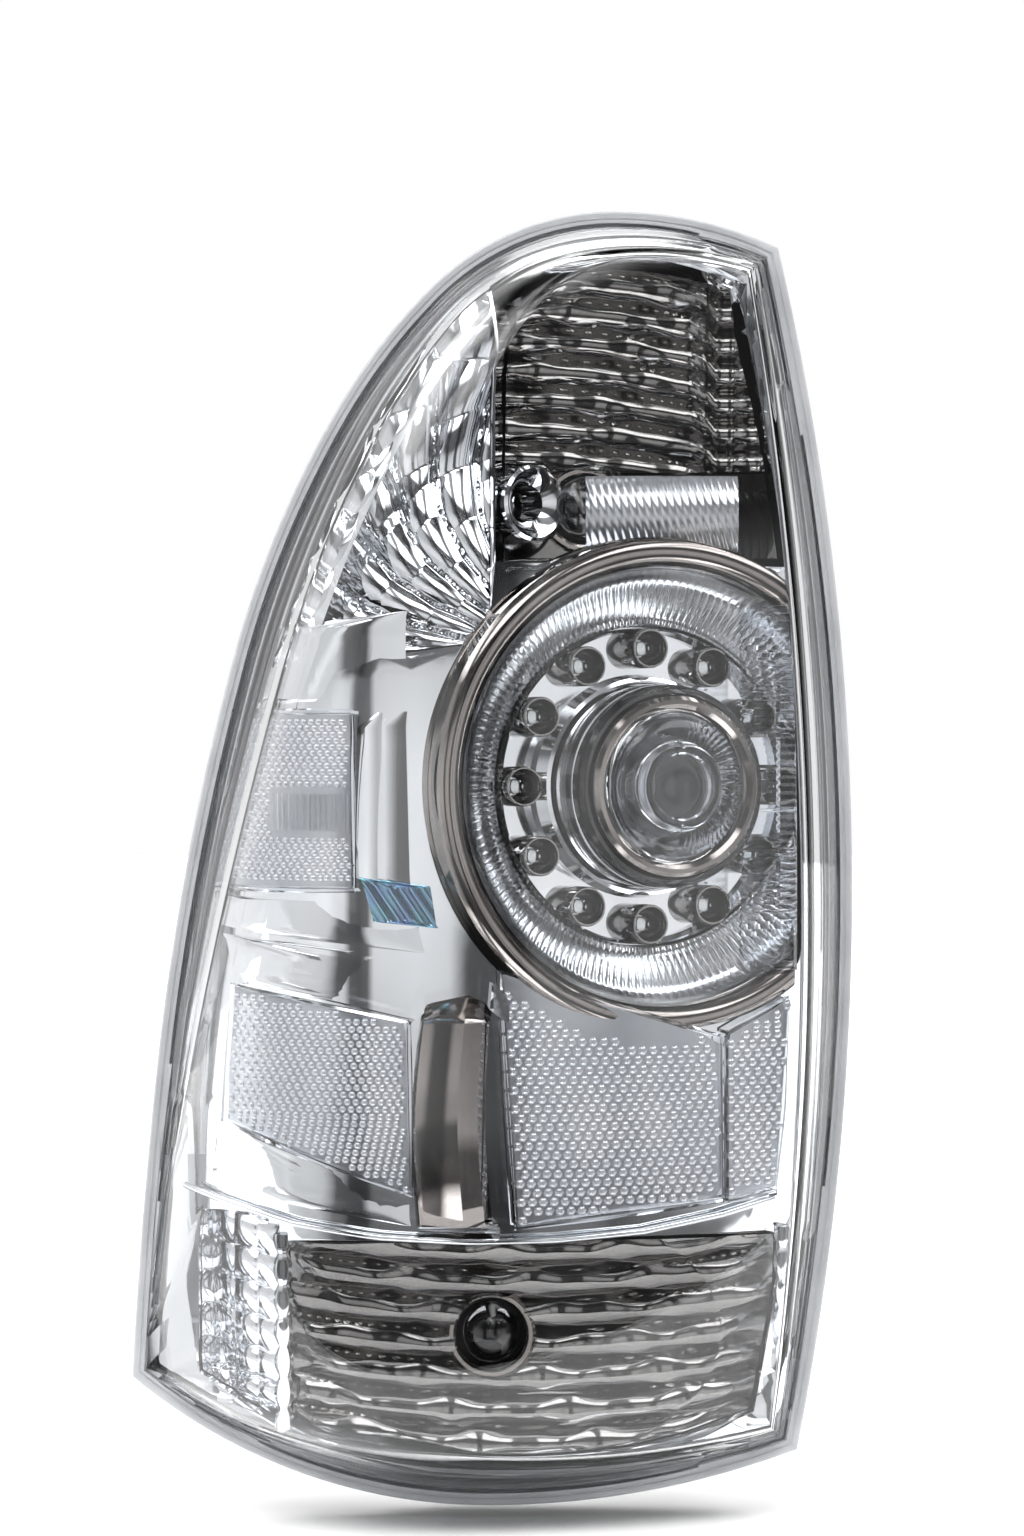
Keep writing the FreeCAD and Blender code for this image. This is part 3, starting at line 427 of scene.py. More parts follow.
def lathe(bm: bmesh.types.BMesh, profile: Sequence[Point2], steps: int = 96,
          ripple: Callable[[float, float, float], float] | None = None) -> None:
    """Adds a closed turned shape about the Y axis.

    Args:
        bm: The mesh to add to.
        profile: Its section as (radius, along) corners, in order.
        steps: How many divisions go round.
        ripple: Optional change of `along` from (radius, along, angle).
    """
    rings: list[list[bmesh.types.BMVert]] = []
    for radius, along in profile:
        if radius < 1e-6:
            rings.append([bm.verts.new((0.0, along, 0.0))])
            continue
        ring = []
        for i in range(steps):
            angle = math.tau * i / steps
            lift = ripple(radius, along, angle) if ripple else 0.0
            ring.append(bm.verts.new((radius * math.cos(angle), along + lift, radius * math.sin(angle))))
        rings.append(ring)
    for a, b in zip(rings, rings[1:] + rings[:1]):
        if len(a) == 1 and len(b) == 1:
            continue
        for i in range(steps):
            j = (i + 1) % steps
            corners = [a[i % len(a)], a[j % len(a)], b[j % len(b)], b[i % len(b)]]
            unique = list(dict.fromkeys(corners))
            bm.faces.new(unique)


def tube(bm: bmesh.types.BMesh, path: Sequence[Point3], radius: float, sides: int = 10) -> None:
    """Adds a closed round tube along a path.

    Args:
        bm: The mesh to add to.
        path: The points it follows.
        radius: Its radius.
        sides: Its number of sides.
    """
    rings = []
    up = Vector((0.0, 0.0, 1.0))
    for i, point in enumerate(path):
        ahead = Vector(path[min(i + 1, len(path) - 1)]) - Vector(path[max(i - 1, 0)])
        ahead.normalize()
        side = ahead.cross(up)
        if side.length < 0.1:
            side = ahead.cross(Vector((1.0, 0.0, 0.0)))
        side.normalize()
        other = side.cross(ahead)
        ring = []
        for k in range(sides):
            angle = math.tau * k / sides
            offset = (side * math.cos(angle) + other * math.sin(angle)) * radius
            ring.append(bm.verts.new(Vector(point) + offset))
        rings.append(ring)
    for a, b in zip(rings, rings[1:]):
        for k in range(sides):
            m = (k + 1) % sides
            bm.faces.new((a[k], a[m], b[m], b[k]))
    bm.faces.new(rings[0])
    bm.faces.new(rings[-1])


def trim_right(bm: bmesh.types.BMesh, plane_x: float) -> None:
    """Cuts a mesh off square to X and closes the cut.

    Args:
        bm: The mesh, in the lamp's frame.
        plane_x: Where it ends.
    """
    bmesh.ops.remove_doubles(bm, verts=bm.verts, dist=MERGE)
    everything = list(bm.verts) + list(bm.edges) + list(bm.faces)
    bmesh.ops.bisect_plane(bm, geom=everything, plane_co=(plane_x, 0, 0), plane_no=(1, 0, 0),
                           clear_outer=True)
    open_edges = [e for e in bm.edges if len(e.link_faces) == 1]
    bmesh.ops.holes_fill(bm, edges=open_edges, sides=0)


def inside(point: Point2, loop: Sequence[Point2]) -> bool:
    """Whether a point lies inside a closed loop.

    Args:
        point: The point.
        loop: The loop's corners.

    Returns:
        Whether it does.
    """
    x, z = point
    hit = False
    for (x0, z0), (x1, z1) in zip(loop, list(loop[1:]) + [loop[0]]):
        if (z0 > z) != (z1 > z) and x < (x1 - x0) * (z - z0) / (z1 - z0) + x0:
            hit = not hit
    return hit


def clip(loop: Sequence[Point2], normal: Point2, limit: float) -> list[Point2]:
    """The part of a convex loop where point . normal is at most limit.

    Args:
        loop: The loop.
        normal: The cut's direction.
        limit: How far along it the cut stands.

    Returns:
        The loop that is left.
    """
    kept: list[Point2] = []
    for a, b in zip(loop, list(loop[1:]) + [loop[0]]):
        da = a[0] * normal[0] + a[1] * normal[1] - limit
        db = b[0] * normal[0] + b[1] * normal[1] - limit
        if da <= 0:
            kept.append(a)
        if da * db < 0:
            t = da / (da - db)
            kept.append((a[0] + (b[0] - a[0]) * t, a[1] + (b[1] - a[1]) * t))
    return kept


def span(loop: Sequence[Point2], z: float) -> Point2:
    """The lowest and highest X of a convex loop at one height.

    Args:
        loop: The loop.
        z: The height.

    Returns:
        Both X values, or zeros where the loop isn't crossed.
    """
    hits = []
    for (x0, z0), (x1, z1) in zip(loop, list(loop[1:]) + [loop[0]]):
        if (z0 - z) * (z1 - z) <= 0 and abs(z1 - z0) > 1e-9:
            hits.append(x0 + (x1 - x0) * (z - z0) / (z1 - z0))
    return (min(hits), max(hits)) if hits else (0.0, 0.0)


def shrink(loop: Sequence[Point2], gap: float) -> list[Point2]:
    """A convex loop drawn in towards its middle by about a gap.

    Args:
        loop: The loop.
        gap: How far in; a negative gap draws it out.

    Returns:
        The new loop.
    """
    cx = sum(p[0] for p in loop) / len(loop)
    cz = sum(p[1] for p in loop) / len(loop)
    drawn = []
    for x, z in loop:
        reach = math.hypot(x - cx, z - cz)
        k = max(0.0, (reach - gap) / reach)
        drawn.append((cx + (x - cx) * k, cz + (z - cz) * k))
    return drawn


def scallop(phase: float) -> float:
    """A round-topped wave from 0 at each whole number to 1 half way between."""
    f = phase - math.floor(phase)
    return 1.0 - (2.0 * f - 1.0) ** 2


# ------------------------------------------------------------------ the lamp's form


@dataclass
class LampForm:
    """The lens's front surface and outline, which every inner piece follows."""

    front_x: float = -60.0
    front_y: float = -114.0
    sweep: float = 700.0
    rightward: tuple[Point2, ...] = ((200.0, 14.0), (290.0, 27.0))
    leftward: tuple[Point2, ...] = ((80.0, 35.0), (130.0, 38.0))
    apex: Point2 = (10.0, 210.8)
    top_right: Point2 = (64.3, 198.6)
    right: Point2 = (88.6, 10.0)
    foot_right: Point2 = (70.6, -200.1)
    lowest: Point2 = (-32.0, -218.7)
    left_runs: tuple[Point2, ...] = ((86.0, 45.0), (200.0, 15.0), (340.0, 15.0), (900.0, 9.0), (1900.0, 3.0))
    draft: float = 18.0
    land: float = 4.0
    wall: float = 2.8
    flange_y: float = -35.0
    side_base: float = 8.2
    turn_reach: float = 28.0
    deepest_y: float = -30.0
    reference: float = 30.0
    search: float = 40.0
    halvings: int = 26
    loops: dict[float, list[Point2]] = field(default_factory=dict)

    def profile(self, x: float, depth: float) -> float:
        """The front profile's Y at the lamp's mid height.

        Args:
            x: Where along the profile.
            depth: How far behind the outer surface.

        Returns:
            The Y there.
        """
        sign = 1.0 if x >= self.front_x else -1.0
        runs = self.rightward if sign > 0 else self.leftward
        px, py, heading = self.front_x, self.front_y, 0.0
        y = py
        for index, (radius, turn) in enumerate(runs):
            cx = px - sign * radius * math.sin(heading)
            cy = py + radius * math.cos(heading)
            ahead = heading + math.radians(turn)
            reach = radius - depth
            off = min(abs(x - cx), reach * 0.9995)
            y = cy - math.sqrt(reach * reach - off * off)
            if off <= reach * math.sin(ahead) or index == len(runs) - 1:
                break
            px = cx + sign * radius * math.sin(ahead)
            py = cy - radius * math.cos(ahead)
            heading = ahead
        return y

    def y(self, x: float, z: float, depth: float = 0.0) -> float:
        """The Y of the front surface, moved back by a depth.

        Args:
            x: Across.
            z: Up.
            depth: How far behind the outer surface.

        Returns:
            The Y there.
        """
        axis = self.front_y + self.sweep
        reach = axis - self.profile(x, depth)
        return axis - math.sqrt(reach * reach - z * z)

    def arcs(self) -> list[tuple[Point2, float, Point2, Point2, bool]]:
        """The outline's arcs: centre, radius, start, end, and whether the start is a corner.

        Returns:
            One tuple for each arc, in order round the outline.
        """
        made = []
        (px, pz), heading = self.apex, 0.0
        for radius, turn in self.left_runs:
            cx, cz = px + radius * math.sin(heading), pz - radius * math.cos(heading)
            heading += math.radians(turn)
            end = (cx - radius * math.sin(heading), cz + radius * math.cos(heading))
            made.append(((cx, cz), radius, (px, pz), end, False))
            px, pz = end
        left_foot = (px, pz)
        for start, end, other in ((left_foot, self.lowest, left_foot),
                                  (self.lowest, self.foot_right, self.foot_right)):
            gap = math.dist(other, self.lowest)
            radius = gap * gap / (2.0 * (other[1] - self.lowest[1]))
            centre = (self.lowest[0], self.lowest[1] + radius)
            made.append((centre, radius, start, end, start is left_foot))
        centre, radius = circle_through(self.foot_right, self.right, self.top_right)
        made.append((centre, radius, self.foot_right, self.top_right, True))
        gap = math.dist(self.top_right, self.apex)
        radius = gap * gap / (2.0 * (self.apex[1] - self.top_right[1]))
        made.append(((self.apex[0], self.apex[1] - radius), radius, self.top_right, self.apex, True))
        return made

    def loop(self, inset: float) -> list[Point2]:
        """The outline moved inwards, always with the same number of points.

        Args:
            inset: How far inwards.

        Returns:
            Its points.
        """
        if inset in self.loops:
            return self.loops[inset]
        arcs = self.arcs()
        starts = []
        for index, (centre, radius, start, _, corner) in enumerate(arcs):
            if corner:
                before = arcs[index - 1]
                starts.append(circles_meet(before[0], before[1] - inset, centre, radius - inset, start))
            else:
                k = (radius - inset) / radius
                cx, cz = centre
                starts.append((cx + (start[0] - cx) * k, cz + (start[1] - cz) * k))
        points: list[Point2] = []
        for index, (centre, radius, start, end, _) in enumerate(arcs):
            count = max(4, int(math.dist(start, end) / 5.0))
            a, b = starts[index], starts[(index + 1) % len(arcs)]
            t0 = math.atan2(a[1] - centre[1], a[0] - centre[0])
            t1 = math.atan2(b[1] - centre[1], b[0] - centre[0])
            turn = (t1 - t0 + math.pi) % math.tau - math.pi
            reach = radius - inset
            for k in range(count):
                t = t0 + turn * k / count
                points.append((centre[0] + reach * math.cos(t), centre[1] + reach * math.sin(t)))
        self.loops[inset] = points
        return points

    def at(self, index: int, inset: float) -> Point2:
        """One of the outline's points, moved inwards by any amount.

        Args:
            index: Which point.
            inset: How far inwards.

        Returns:
            The point.
        """
        a, b = self.loop(0.0)[index], self.loop(self.reference)[index]
        k = inset / self.reference
        return a[0] + (b[0] - a[0]) * k, a[1] + (b[1] - a[1]) * k

    def inset_at(self, x: float, z: float) -> float:
        """How far a point lies inside the outline.

        Args:
            x: Across.
            z: Up.

        Returns:
            The distance to the nearest edge.
        """
        loop = self.loop(0.0)
        nearest = math.inf
        for (ax, az), (bx, bz) in zip(loop, loop[1:] + loop[:1]):
            dx, dz = bx - ax, bz - az
            t = min(1.0, max(0.0, ((x - ax) * dx + (z - az) * dz) / (dx * dx + dz * dz)))
            nearest = min(nearest, math.hypot(x - ax - dx * t, z - az - dz * t))
        return nearest

    def under(self, x: float, z: float, depth: float, drawn: float = 0.0) -> float:
        """The Y of a surface that follows the front, then turns back inside the lens's side.

        Args:
            x: Across.
            z: Up.
            depth: Its depth behind the front.
            drawn: How much further in its side stands.

        Returns:
            The Y there.
        """
        front = self.y(x, z, depth)
        inset = self.inset_at(x, z) - self.side_base - drawn
        side = self.flange_y - inset / math.tan(math.radians(self.draft))
        near = max(0.0, self.turn_reach - abs(front - side))
        return max(front, side) + near * near / (4.0 * self.turn_reach)

    def edge(self, base: float, depth: float) -> list[float]:
        """Where a drafted side wall meets the front surface.

        Args:
            base: The wall's inset at the flange.
            depth: The front surface's depth.

        Returns:
            The wall's inset there, for each of the outline's points.
        """
        slope = math.tan(math.radians(self.draft))
        found = []
        for index in range(len(self.loop(0.0))):
            low, high = base, base + self.search
            for _ in range(self.halvings):
                middle = (low + high) / 2.0
                x, z = self.at(index, middle)
                wanted = base + (self.flange_y - self.y(x, z, depth)) * slope
                low, high = (middle, high) if wanted > middle else (low, middle)
            found.append(low)
        return found


def circle_through(a: Point2, b: Point2, c: Point2) -> tuple[Point2, float]:
    """The centre and radius of the circle through three points.

    Args:
        a: The first point.
        b: The second point.
        c: The third point.

    Returns:
        The centre and the radius.
    """
    ax, ay, bx, by, cx, cy = *a, *b, *c
    d = 2.0 * (ax * (by - cy) + bx * (cy - ay) + cx * (ay - by))
    a2, b2, c2 = ax * ax + ay * ay, bx * bx + by * by, cx * cx + cy * cy
    ux = (a2 * (by - cy) + b2 * (cy - ay) + c2 * (ay - by)) / d
    uy = (a2 * (cx - bx) + b2 * (ax - cx) + c2 * (bx - ax)) / d
    return (ux, uy), math.hypot(ax - ux, ay - uy)


def circles_meet(a: Point2, ra: float, b: Point2, rb: float, near: Point2) -> Point2:
    """Where two circles cross, next to a point.

    Args:
        a: The first centre.
        ra: The first radius.
        b: The second centre.
        rb: The second radius.
        near: The point to stay next to.

    Returns:
        The crossing.
    """
    d = math.dist(a, b)
    along = (d * d + ra * ra - rb * rb) / (2.0 * d)
    up = math.sqrt(ra * ra - along * along)
    ux, uz = (b[0] - a[0]) / d, (b[1] - a[1]) / d
    foot = (a[0] + ux * along, a[1] + uz * along)
    both = [(foot[0] - uz * up, foot[1] + ux * up), (foot[0] + uz * up, foot[1] - ux * up)]
    return min(both, key=lambda p: math.dist(p, near))


FORM = LampForm()


def relief(bm: bmesh.types.BMesh, loop: Sequence[Point2], nx: int, nz: int, height: Height, thick: float,
           hole: tuple[float, float, float] | None = None) -> None:
    """Adds a thin relief over a convex zone.

    Args:
        bm: The mesh to add to.
        loop: The zone's outline, as X and Z.
        nx: Divisions across.
        nz: Divisions up.
        height: The relief's Y at a point.
        thick: How thick it is.
        hole: Optional round hole, as X, Z and radius.
    """
    low = min(p[1] for p in loop) + 0.02
    high = max(p[1] for p in loop) - 0.02
    rows, back = [], []
    for j in range(nz + 1):
        z = low + (high - low) * j / nz
        x0, x1 = span(loop, z)
        if x1 - x0 < 1.0:
            x0, x1 = x0 - 0.5, x1 + 0.5
        row = [(x0 + (x1 - x0) * i / nx, 0.0, z) for i in range(nx + 1)]
        row = [(x, height(x, z), z) for x, _, z in row]
        rows.append(row)
        back.append([(x, y + thick, z) for x, y, z in row])
    skip = (lambda p: math.dist((p[0], p[2]), hole[:2]) < hole[2]) if hole else None
    grid_solid(bm, rows, back, skip)


def wall_band(bm: bmesh.types.BMesh, loop: Sequence[Point2], near: Height, far: Height, drawn: float,
              thick: float = 1.0, steps: int = 6) -> None:
    """Adds a chamber's side wall, a closed band from its mouth back to its floor.

    Args:
        bm: The mesh to add to.
        loop: The mouth's outline.
        near: The mouth's Y at a point.
        far: The floor's Y at a point.
        drawn: How far the wall leans inwards.
        thick: Its thickness.
        steps: Divisions from front to back.
    """
    inner_far = shrink(loop, drawn)
    outer = shrink(loop, -thick)
    outer_far = shrink(loop, drawn - thick)
    sections = []
    for a, b, c, d in zip(loop, inner_far, outer, outer_far):
        section = []
        for start, end in ((a, b), (d, c)):
            y0, y1 = near(*a), far(*b)
            if start is d:
                y0, y1 = y1, y0
            for k in range(steps + 1):
                t = k / steps
                x, z = start[0] + (end[0] - start[0]) * t, start[1] + (end[1] - start[1]) * t
                section.append((x, y0 + (y1 - y0) * t, z))
        sections.append([bm.verts.new(p) for p in section])
    size = len(sections[0])
    for a, b in zip(sections, sections[1:] + sections[:1]):
        for k in range(size):
            m = (k + 1) % size
            bm.faces.new((a[k], a[m], b[m], b[k]))


# ------------------------------------------------------------------ repeats


class RepeatTree:
    """A Geometry Nodes tree that sets one piece on every point of another mesh."""

    def __init__(self) -> None:
        """Builds the tree once."""
        tree = bpy.data.node_groups.new("set_out", "GeometryNodeTree")
        face = tree.interface
        face.new_socket(name="Points", in_out="INPUT", socket_type="NodeSocketGeometry")
        self.ids: dict[str, str] = {}
        for name, kind, value in (
            ("Piece", "NodeSocketObject", None),
            ("Finish", "NodeSocketMaterial", None),
            ("Size", "NodeSocketFloat", 1.0),
            ("Size Variation", "NodeSocketFloat", 0.0),
            ("Seed", "NodeSocketInt", SEED),
        ):
            socket = face.new_socket(name=name, in_out="INPUT", socket_type=kind)
            if value is not None:
                socket.default_value = value
            self.ids[name] = socket.identifier
        face.new_socket(name="Geometry", in_out="OUTPUT", socket_type="NodeSocketGeometry")
        n = Nodes(tree)
        start, end = n.add("NodeGroupInput"), n.add("NodeGroupOutput")
        source = n.add("GeometryNodeObjectInfo")
        spread = n.add("FunctionNodeRandomValue", data_type="FLOAT")
        place = n.add("GeometryNodeInstanceOnPoints")
        real = n.add("GeometryNodeRealizeInstances")
        dress = n.add("GeometryNodeSetMaterial")
        n.join(start.outputs["Piece"], source.inputs["Object"])
        low = n.math("SUBTRACT", start.outputs["Size"], start.outputs["Size Variation"])
        high = n.math("ADD", start.outputs["Size"], start.outputs["Size Variation"])
        floats = [s for s in spread.inputs if s.type == "VALUE"]
        n.join(low, floats[0])
        n.join(high, floats[1])
        n.join(start.outputs["Seed"], spread.inputs["Seed"])
        n.join(start.outputs["Points"], place.inputs["Points"])
        n.join(source.outputs["Geometry"], place.inputs["Instance"])
        value = next(s for s in spread.outputs if s.type == "VALUE")
        n.join(value, place.inputs["Scale"])
        n.join(place.outputs["Instances"], real.inputs["Geometry"])
        n.join(real.outputs["Geometry"], dress.inputs["Geometry"])
        n.join(start.outputs["Finish"], dress.inputs["Material"])
        n.join(dress.outputs["Geometry"], end.inputs["Geometry"])
        self.tree = tree

    def set_out(self, name: str, piece: bpy.types.Object, points: Sequence[Point3],
                finish: bpy.types.Material,
                vary: float = 0.0) -> bpy.types.Object:
        """Sets a piece on points and bakes the result to one plain mesh.

        Args:
            name: The new object's name.
            piece: What is repeated. It is removed afterwards.
            points: Where, in millimetres.
            finish: The material of the result.
            vary: How much each one's size may differ.

        Returns:
            The baked object.
        """
        mesh = bpy.data.meshes.new(name + "_points")
        mesh.from_pydata([(x * MM, y * MM, z * MM) for x, y, z in points], [], [])
        host = bpy.data.objects.new(name + "_host", mesh)
        bpy.context.scene.collection.objects.link(host)
        modifier = host.modifiers.new("set_out", "NODES")
        modifier.node_group = self.tree
        modifier[self.ids["Piece"]] = piece
        modifier[self.ids["Finish"]] = finish
        modifier[self.ids["Size"]] = 1.0
        modifier[self.ids["Size Variation"]] = vary
        modifier[self.ids["Seed"]] = SEED
        bpy.context.view_layer.update()
        graph = bpy.context.evaluated_depsgraph_get()
        baked = bpy.data.meshes.new_from_object(host.evaluated_get(graph))
        baked.name = name
        result = bpy.data.objects.new(name, baked)
        bpy.context.scene.collection.objects.link(result)
        bpy.data.objects.remove(host)
        bpy.data.objects.remove(piece)
        return result


# ------------------------------------------------------------------ sub-assemblies


@dataclass
class SubAssembly:
    """What every sub-assembly shares: the materials, the repeat tree and how a piece is handed over."""

    paint: Paint
    repeats: RepeatTree

    body = LAMP

    def hand_over(self, piece: bpy.types.Object, slot: Slot, *nodes: str, body: str = "") -> bpy.types.Object:
        """Ties a finished piece to its body and hides the CAD nodes it stands for.

        Args:
            piece: The piece.
            slot: Its material slot; not used.
            nodes: The CAD nodes it stands for.
            body: The body it rides on, if not the sub-assembly's own.

        Returns:
            The piece.
        """
        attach(piece, body or self.body)
        if nodes:
            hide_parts(*nodes)
        LOG.info("%s: %d faces", piece.name, len(piece.data.polygons))
        return piece

    def make(self, bm: bmesh.types.BMesh, name: str, slot: Slot, *nodes: str, sharp: float = 32.0,
             body: str = "", dress: bpy.types.Material | None = None) -> bpy.types.Object:
        """Finishes a mesh and hands it over."""
        piece = finish_mesh(bm, name, dress or self.paint[slot], sharp)
        return self.hand_over(piece, slot, *nodes, body=body)


@dataclass
class OuterLens(SubAssembly):
    """The clear lens: front, drafted sides with moulded steps, flange and foot."""

    rings: int = 26
    blend: float = 2.4
    left_blend: float = 19.0
    centre: Point2 = (-12.0, -12.0)
    weld_front: float = -38.9

    def skin(self, base: float, depth: float, steps: Sequence[Point2]) -> list[list[Point3]]:
        """One surface of the lens, from the flange up over the edge to the middle.

        Args:
            base: The side's inset at the flange.
            depth: The front's depth.
            steps: Ridges on the side, as (share of its height, how far it stands out).

        Returns:
            Rings of points, outermost first.
        """
        edge = FORM.edge(base, depth)
        slope = math.tan(math.radians(FORM.draft))
        count = len(edge)
        columns: list[list[Point3]] = []
        for index in range(count):
            top = edge[index]
            top_y = FORM.flange_y - (top - base) / slope
            blend = min(self.roundness(index), 0.62 * (FORM.flange_y - top_y))
            column = []
            for share, out in steps:
                inset = base + (top - blend * slope - base) * share - out
                x, z = FORM.at(index, inset)
                column.append((x, FORM.flange_y + (top_y + blend - FORM.flange_y) * share, z))
            x, z = FORM.at(index, top)
            corner = Vector((x, top_y, z))
            start = Vector(column[-1])
            cx, cz = self.centre
            reach = math.hypot(x - cx, z - cz)
            k = (reach - blend) / reach
            ex, ez = cx + (x - cx) * k, cz + (z - cz) * k
            end = Vector((ex, FORM.y(ex, ez, depth), ez))
            for t in (0.12, 0.25, 0.38, 0.5, 0.62, 0.75, 0.88, 1.0):
                column.append(tuple(start * (1 - t) ** 2 + corner * 2 * t * (1 - t) + end * t * t))
            for ring in range(1, self.rings):
                k = 1.0 - ring / self.rings
                x, z = cx + (ex - cx) * k, cz + (ez - cz) * k
                column.append((x, FORM.y(x, z, depth), z))
            columns.append(column)
        return [[column[r] for column in columns] for r in range(len(columns[0]))]

    def build(self) -> None:
        """Builds the lens."""
        step = FORM.wall / math.cos(math.radians(FORM.draft))
        outer = self.skin(FORM.land, 0.0, ((0.0, 0.0), (0.16, 0.0), (0.2, 0.7), (0.34, 0.7), (0.38, 0.0),
                                           (0.7, 0.0),
                                           (0.74, 0.5), (0.8, 0.5), (0.84, 0.0), (1.0, 0.0)))
        inner = self.skin(FORM.land + step, FORM.wall, ((0.0, 0.0), (0.5, 0.0), (1.0, 0.0)))
        count = len(outer[0])
        flange = [(FORM.land, -38.5), (3.2, -38.5), (2.9, -37.9), (2.4, -37.9), (2.1, -38.5), (0.7, -38.5),
                  (0.15, -38.2), (0.0, -37.6), (0.0, -35.0), (FORM.land + 0.5, -35.0),
                  (FORM.land + 0.5, -29.3),
                  (FORM.land + 0.9, -29.0), (FORM.land + step, -29.0)]
        outer = outer[1:]
        rings = [[(x, y, z) for x, z in (FORM.at(i, inset) for i in range(count))] for inset, y in flange]
        bm = bmesh.new()
        chain = list(reversed(outer)) + rings + inner
        made = [[bm.verts.new(p) for p in ring] for ring in chain]
        for a, b in zip(made, made[1:]):
            for i in range(count):
                j = (i + 1) % count
                bm.faces.new((a[i], a[j], b[j], b[i]))
        cx, cz = self.centre
        for ring, depth in ((made[0], 0.0), (made[-1], FORM.wall)):
            pole = bm.verts.new((cx, FORM.y(cx, cz, depth), cz))
            for i in range(count):
                bm.faces.new((ring[i], ring[(i + 1) % count], pole))
        lens = self.make(bm, "lens_shell", Slot.CLEAR, "outer_lens", sharp=28.0)
        lens.data.materials.append(self.paint.weld)
        for face in lens.data.polygons:
            if face.center.y > self.weld_front * MM:
                face.material_index = 1

    def roundness(self, index: int) -> float:
        """The edge's blend at a point of the outline: tight at the right, wide round the left side.

        Args:
            index: Which point.

        Returns:
            How far the blend reaches.
        """
        (x0, z0), (x1, z1) = FORM.at(index, 0.0), FORM.at(index, 1.0)
        left = max(0.0, (x1 - x0) / math.dist((x0, z0), (x1, z1)))
        return self.blend + (self.left_blend - self.blend) * min(1.0, left * 1.4) ** 1.5


@dataclass(frozen=True)
class RingFrame:
    """Where the round unit stands, and how it is turned."""

    x: float = 18.5
    y: float = -58.5
    z: float = 20.0
    turn: float = 24.0
    trim: float = 68.2

    def matrix(self) -> Matrix:
        """The transform from the unit's own frame to the lamp's, in millimetres."""
        return Matrix.Translation((self.x, self.y, self.z)) @ Matrix.Rotation(math.radians(self.turn), 4, "Z")

    def point(self, x: float, y: float, z: float) -> Point3:
        """A point of the unit in the lamp's frame."""
        return tuple(self.matrix() @ Vector((x, y, z)))

    def circle(self, radius: float, y: float, count: int = 96) -> list[Point2]:
        """A circle of the unit as seen from the front.

        Args:
            radius: Its radius.
            y: How far along the unit's axis.
            count: Its number of points.

        Returns:
            The circle, as X and Z.
        """
        loop = []
        for i in range(count):
            angle = math.tau * i / count
            x, _, z = self.point(radius * math.cos(angle), y, radius * math.sin(angle))
            loop.append((x, z))
        return loop


RING = RingFrame()


@dataclass
class Zones:
    """The chambers' mouths, as convex loops of X and Z."""

    rim: float = 17.0
    mouth: float = 16.4
    drawn: float = 1.4

    def cut(self, inset: float, *limits: tuple[float, float, float]) -> list[Point2]:
        """The inset outline with sides cut off.

        Args:
            inset: How far inwards the outline stands.
            limits: Cuts, each as a direction in X and Z and how far along it stands.

        Returns:
            The loop that is left.
        """
        loop = FORM.loop(inset)
        for nx, nz, limit in limits:
            loop = clip(loop, (nx, nz), limit)
        return loop

    def upper(self) -> list[Point2]:
        """The fluted upper chamber."""
        return self.cut(self.rim, (-1.0, 0.0, 29.5), (0.0, -1.0, -92.0))

    def fins(self) -> list[Point2]:
        """The finned chamber at the upper left."""
        return self.cut(self.rim - 1.0, (1.0, 0.0, -31.0), (0.12, -1.0, -70.0))

    def lower(self) -> list[Point2]:
        """The fluted lower chamber."""
        return self.cut(self.rim, (0.0, 1.0, -127.0), (-1.0, 0.0, 97.0), (1.0, 0.0, 63.0))

    def lower_side(self) -> list[Point2]:
        """The narrow fluted chamber at the lower left."""
        return self.cut(self.rim - 2.0, (0.0, 1.0, -119.0), (1.0, 0.0, -99.0), (-1.0, 0.0, 127.0))


ZONES = Zones()


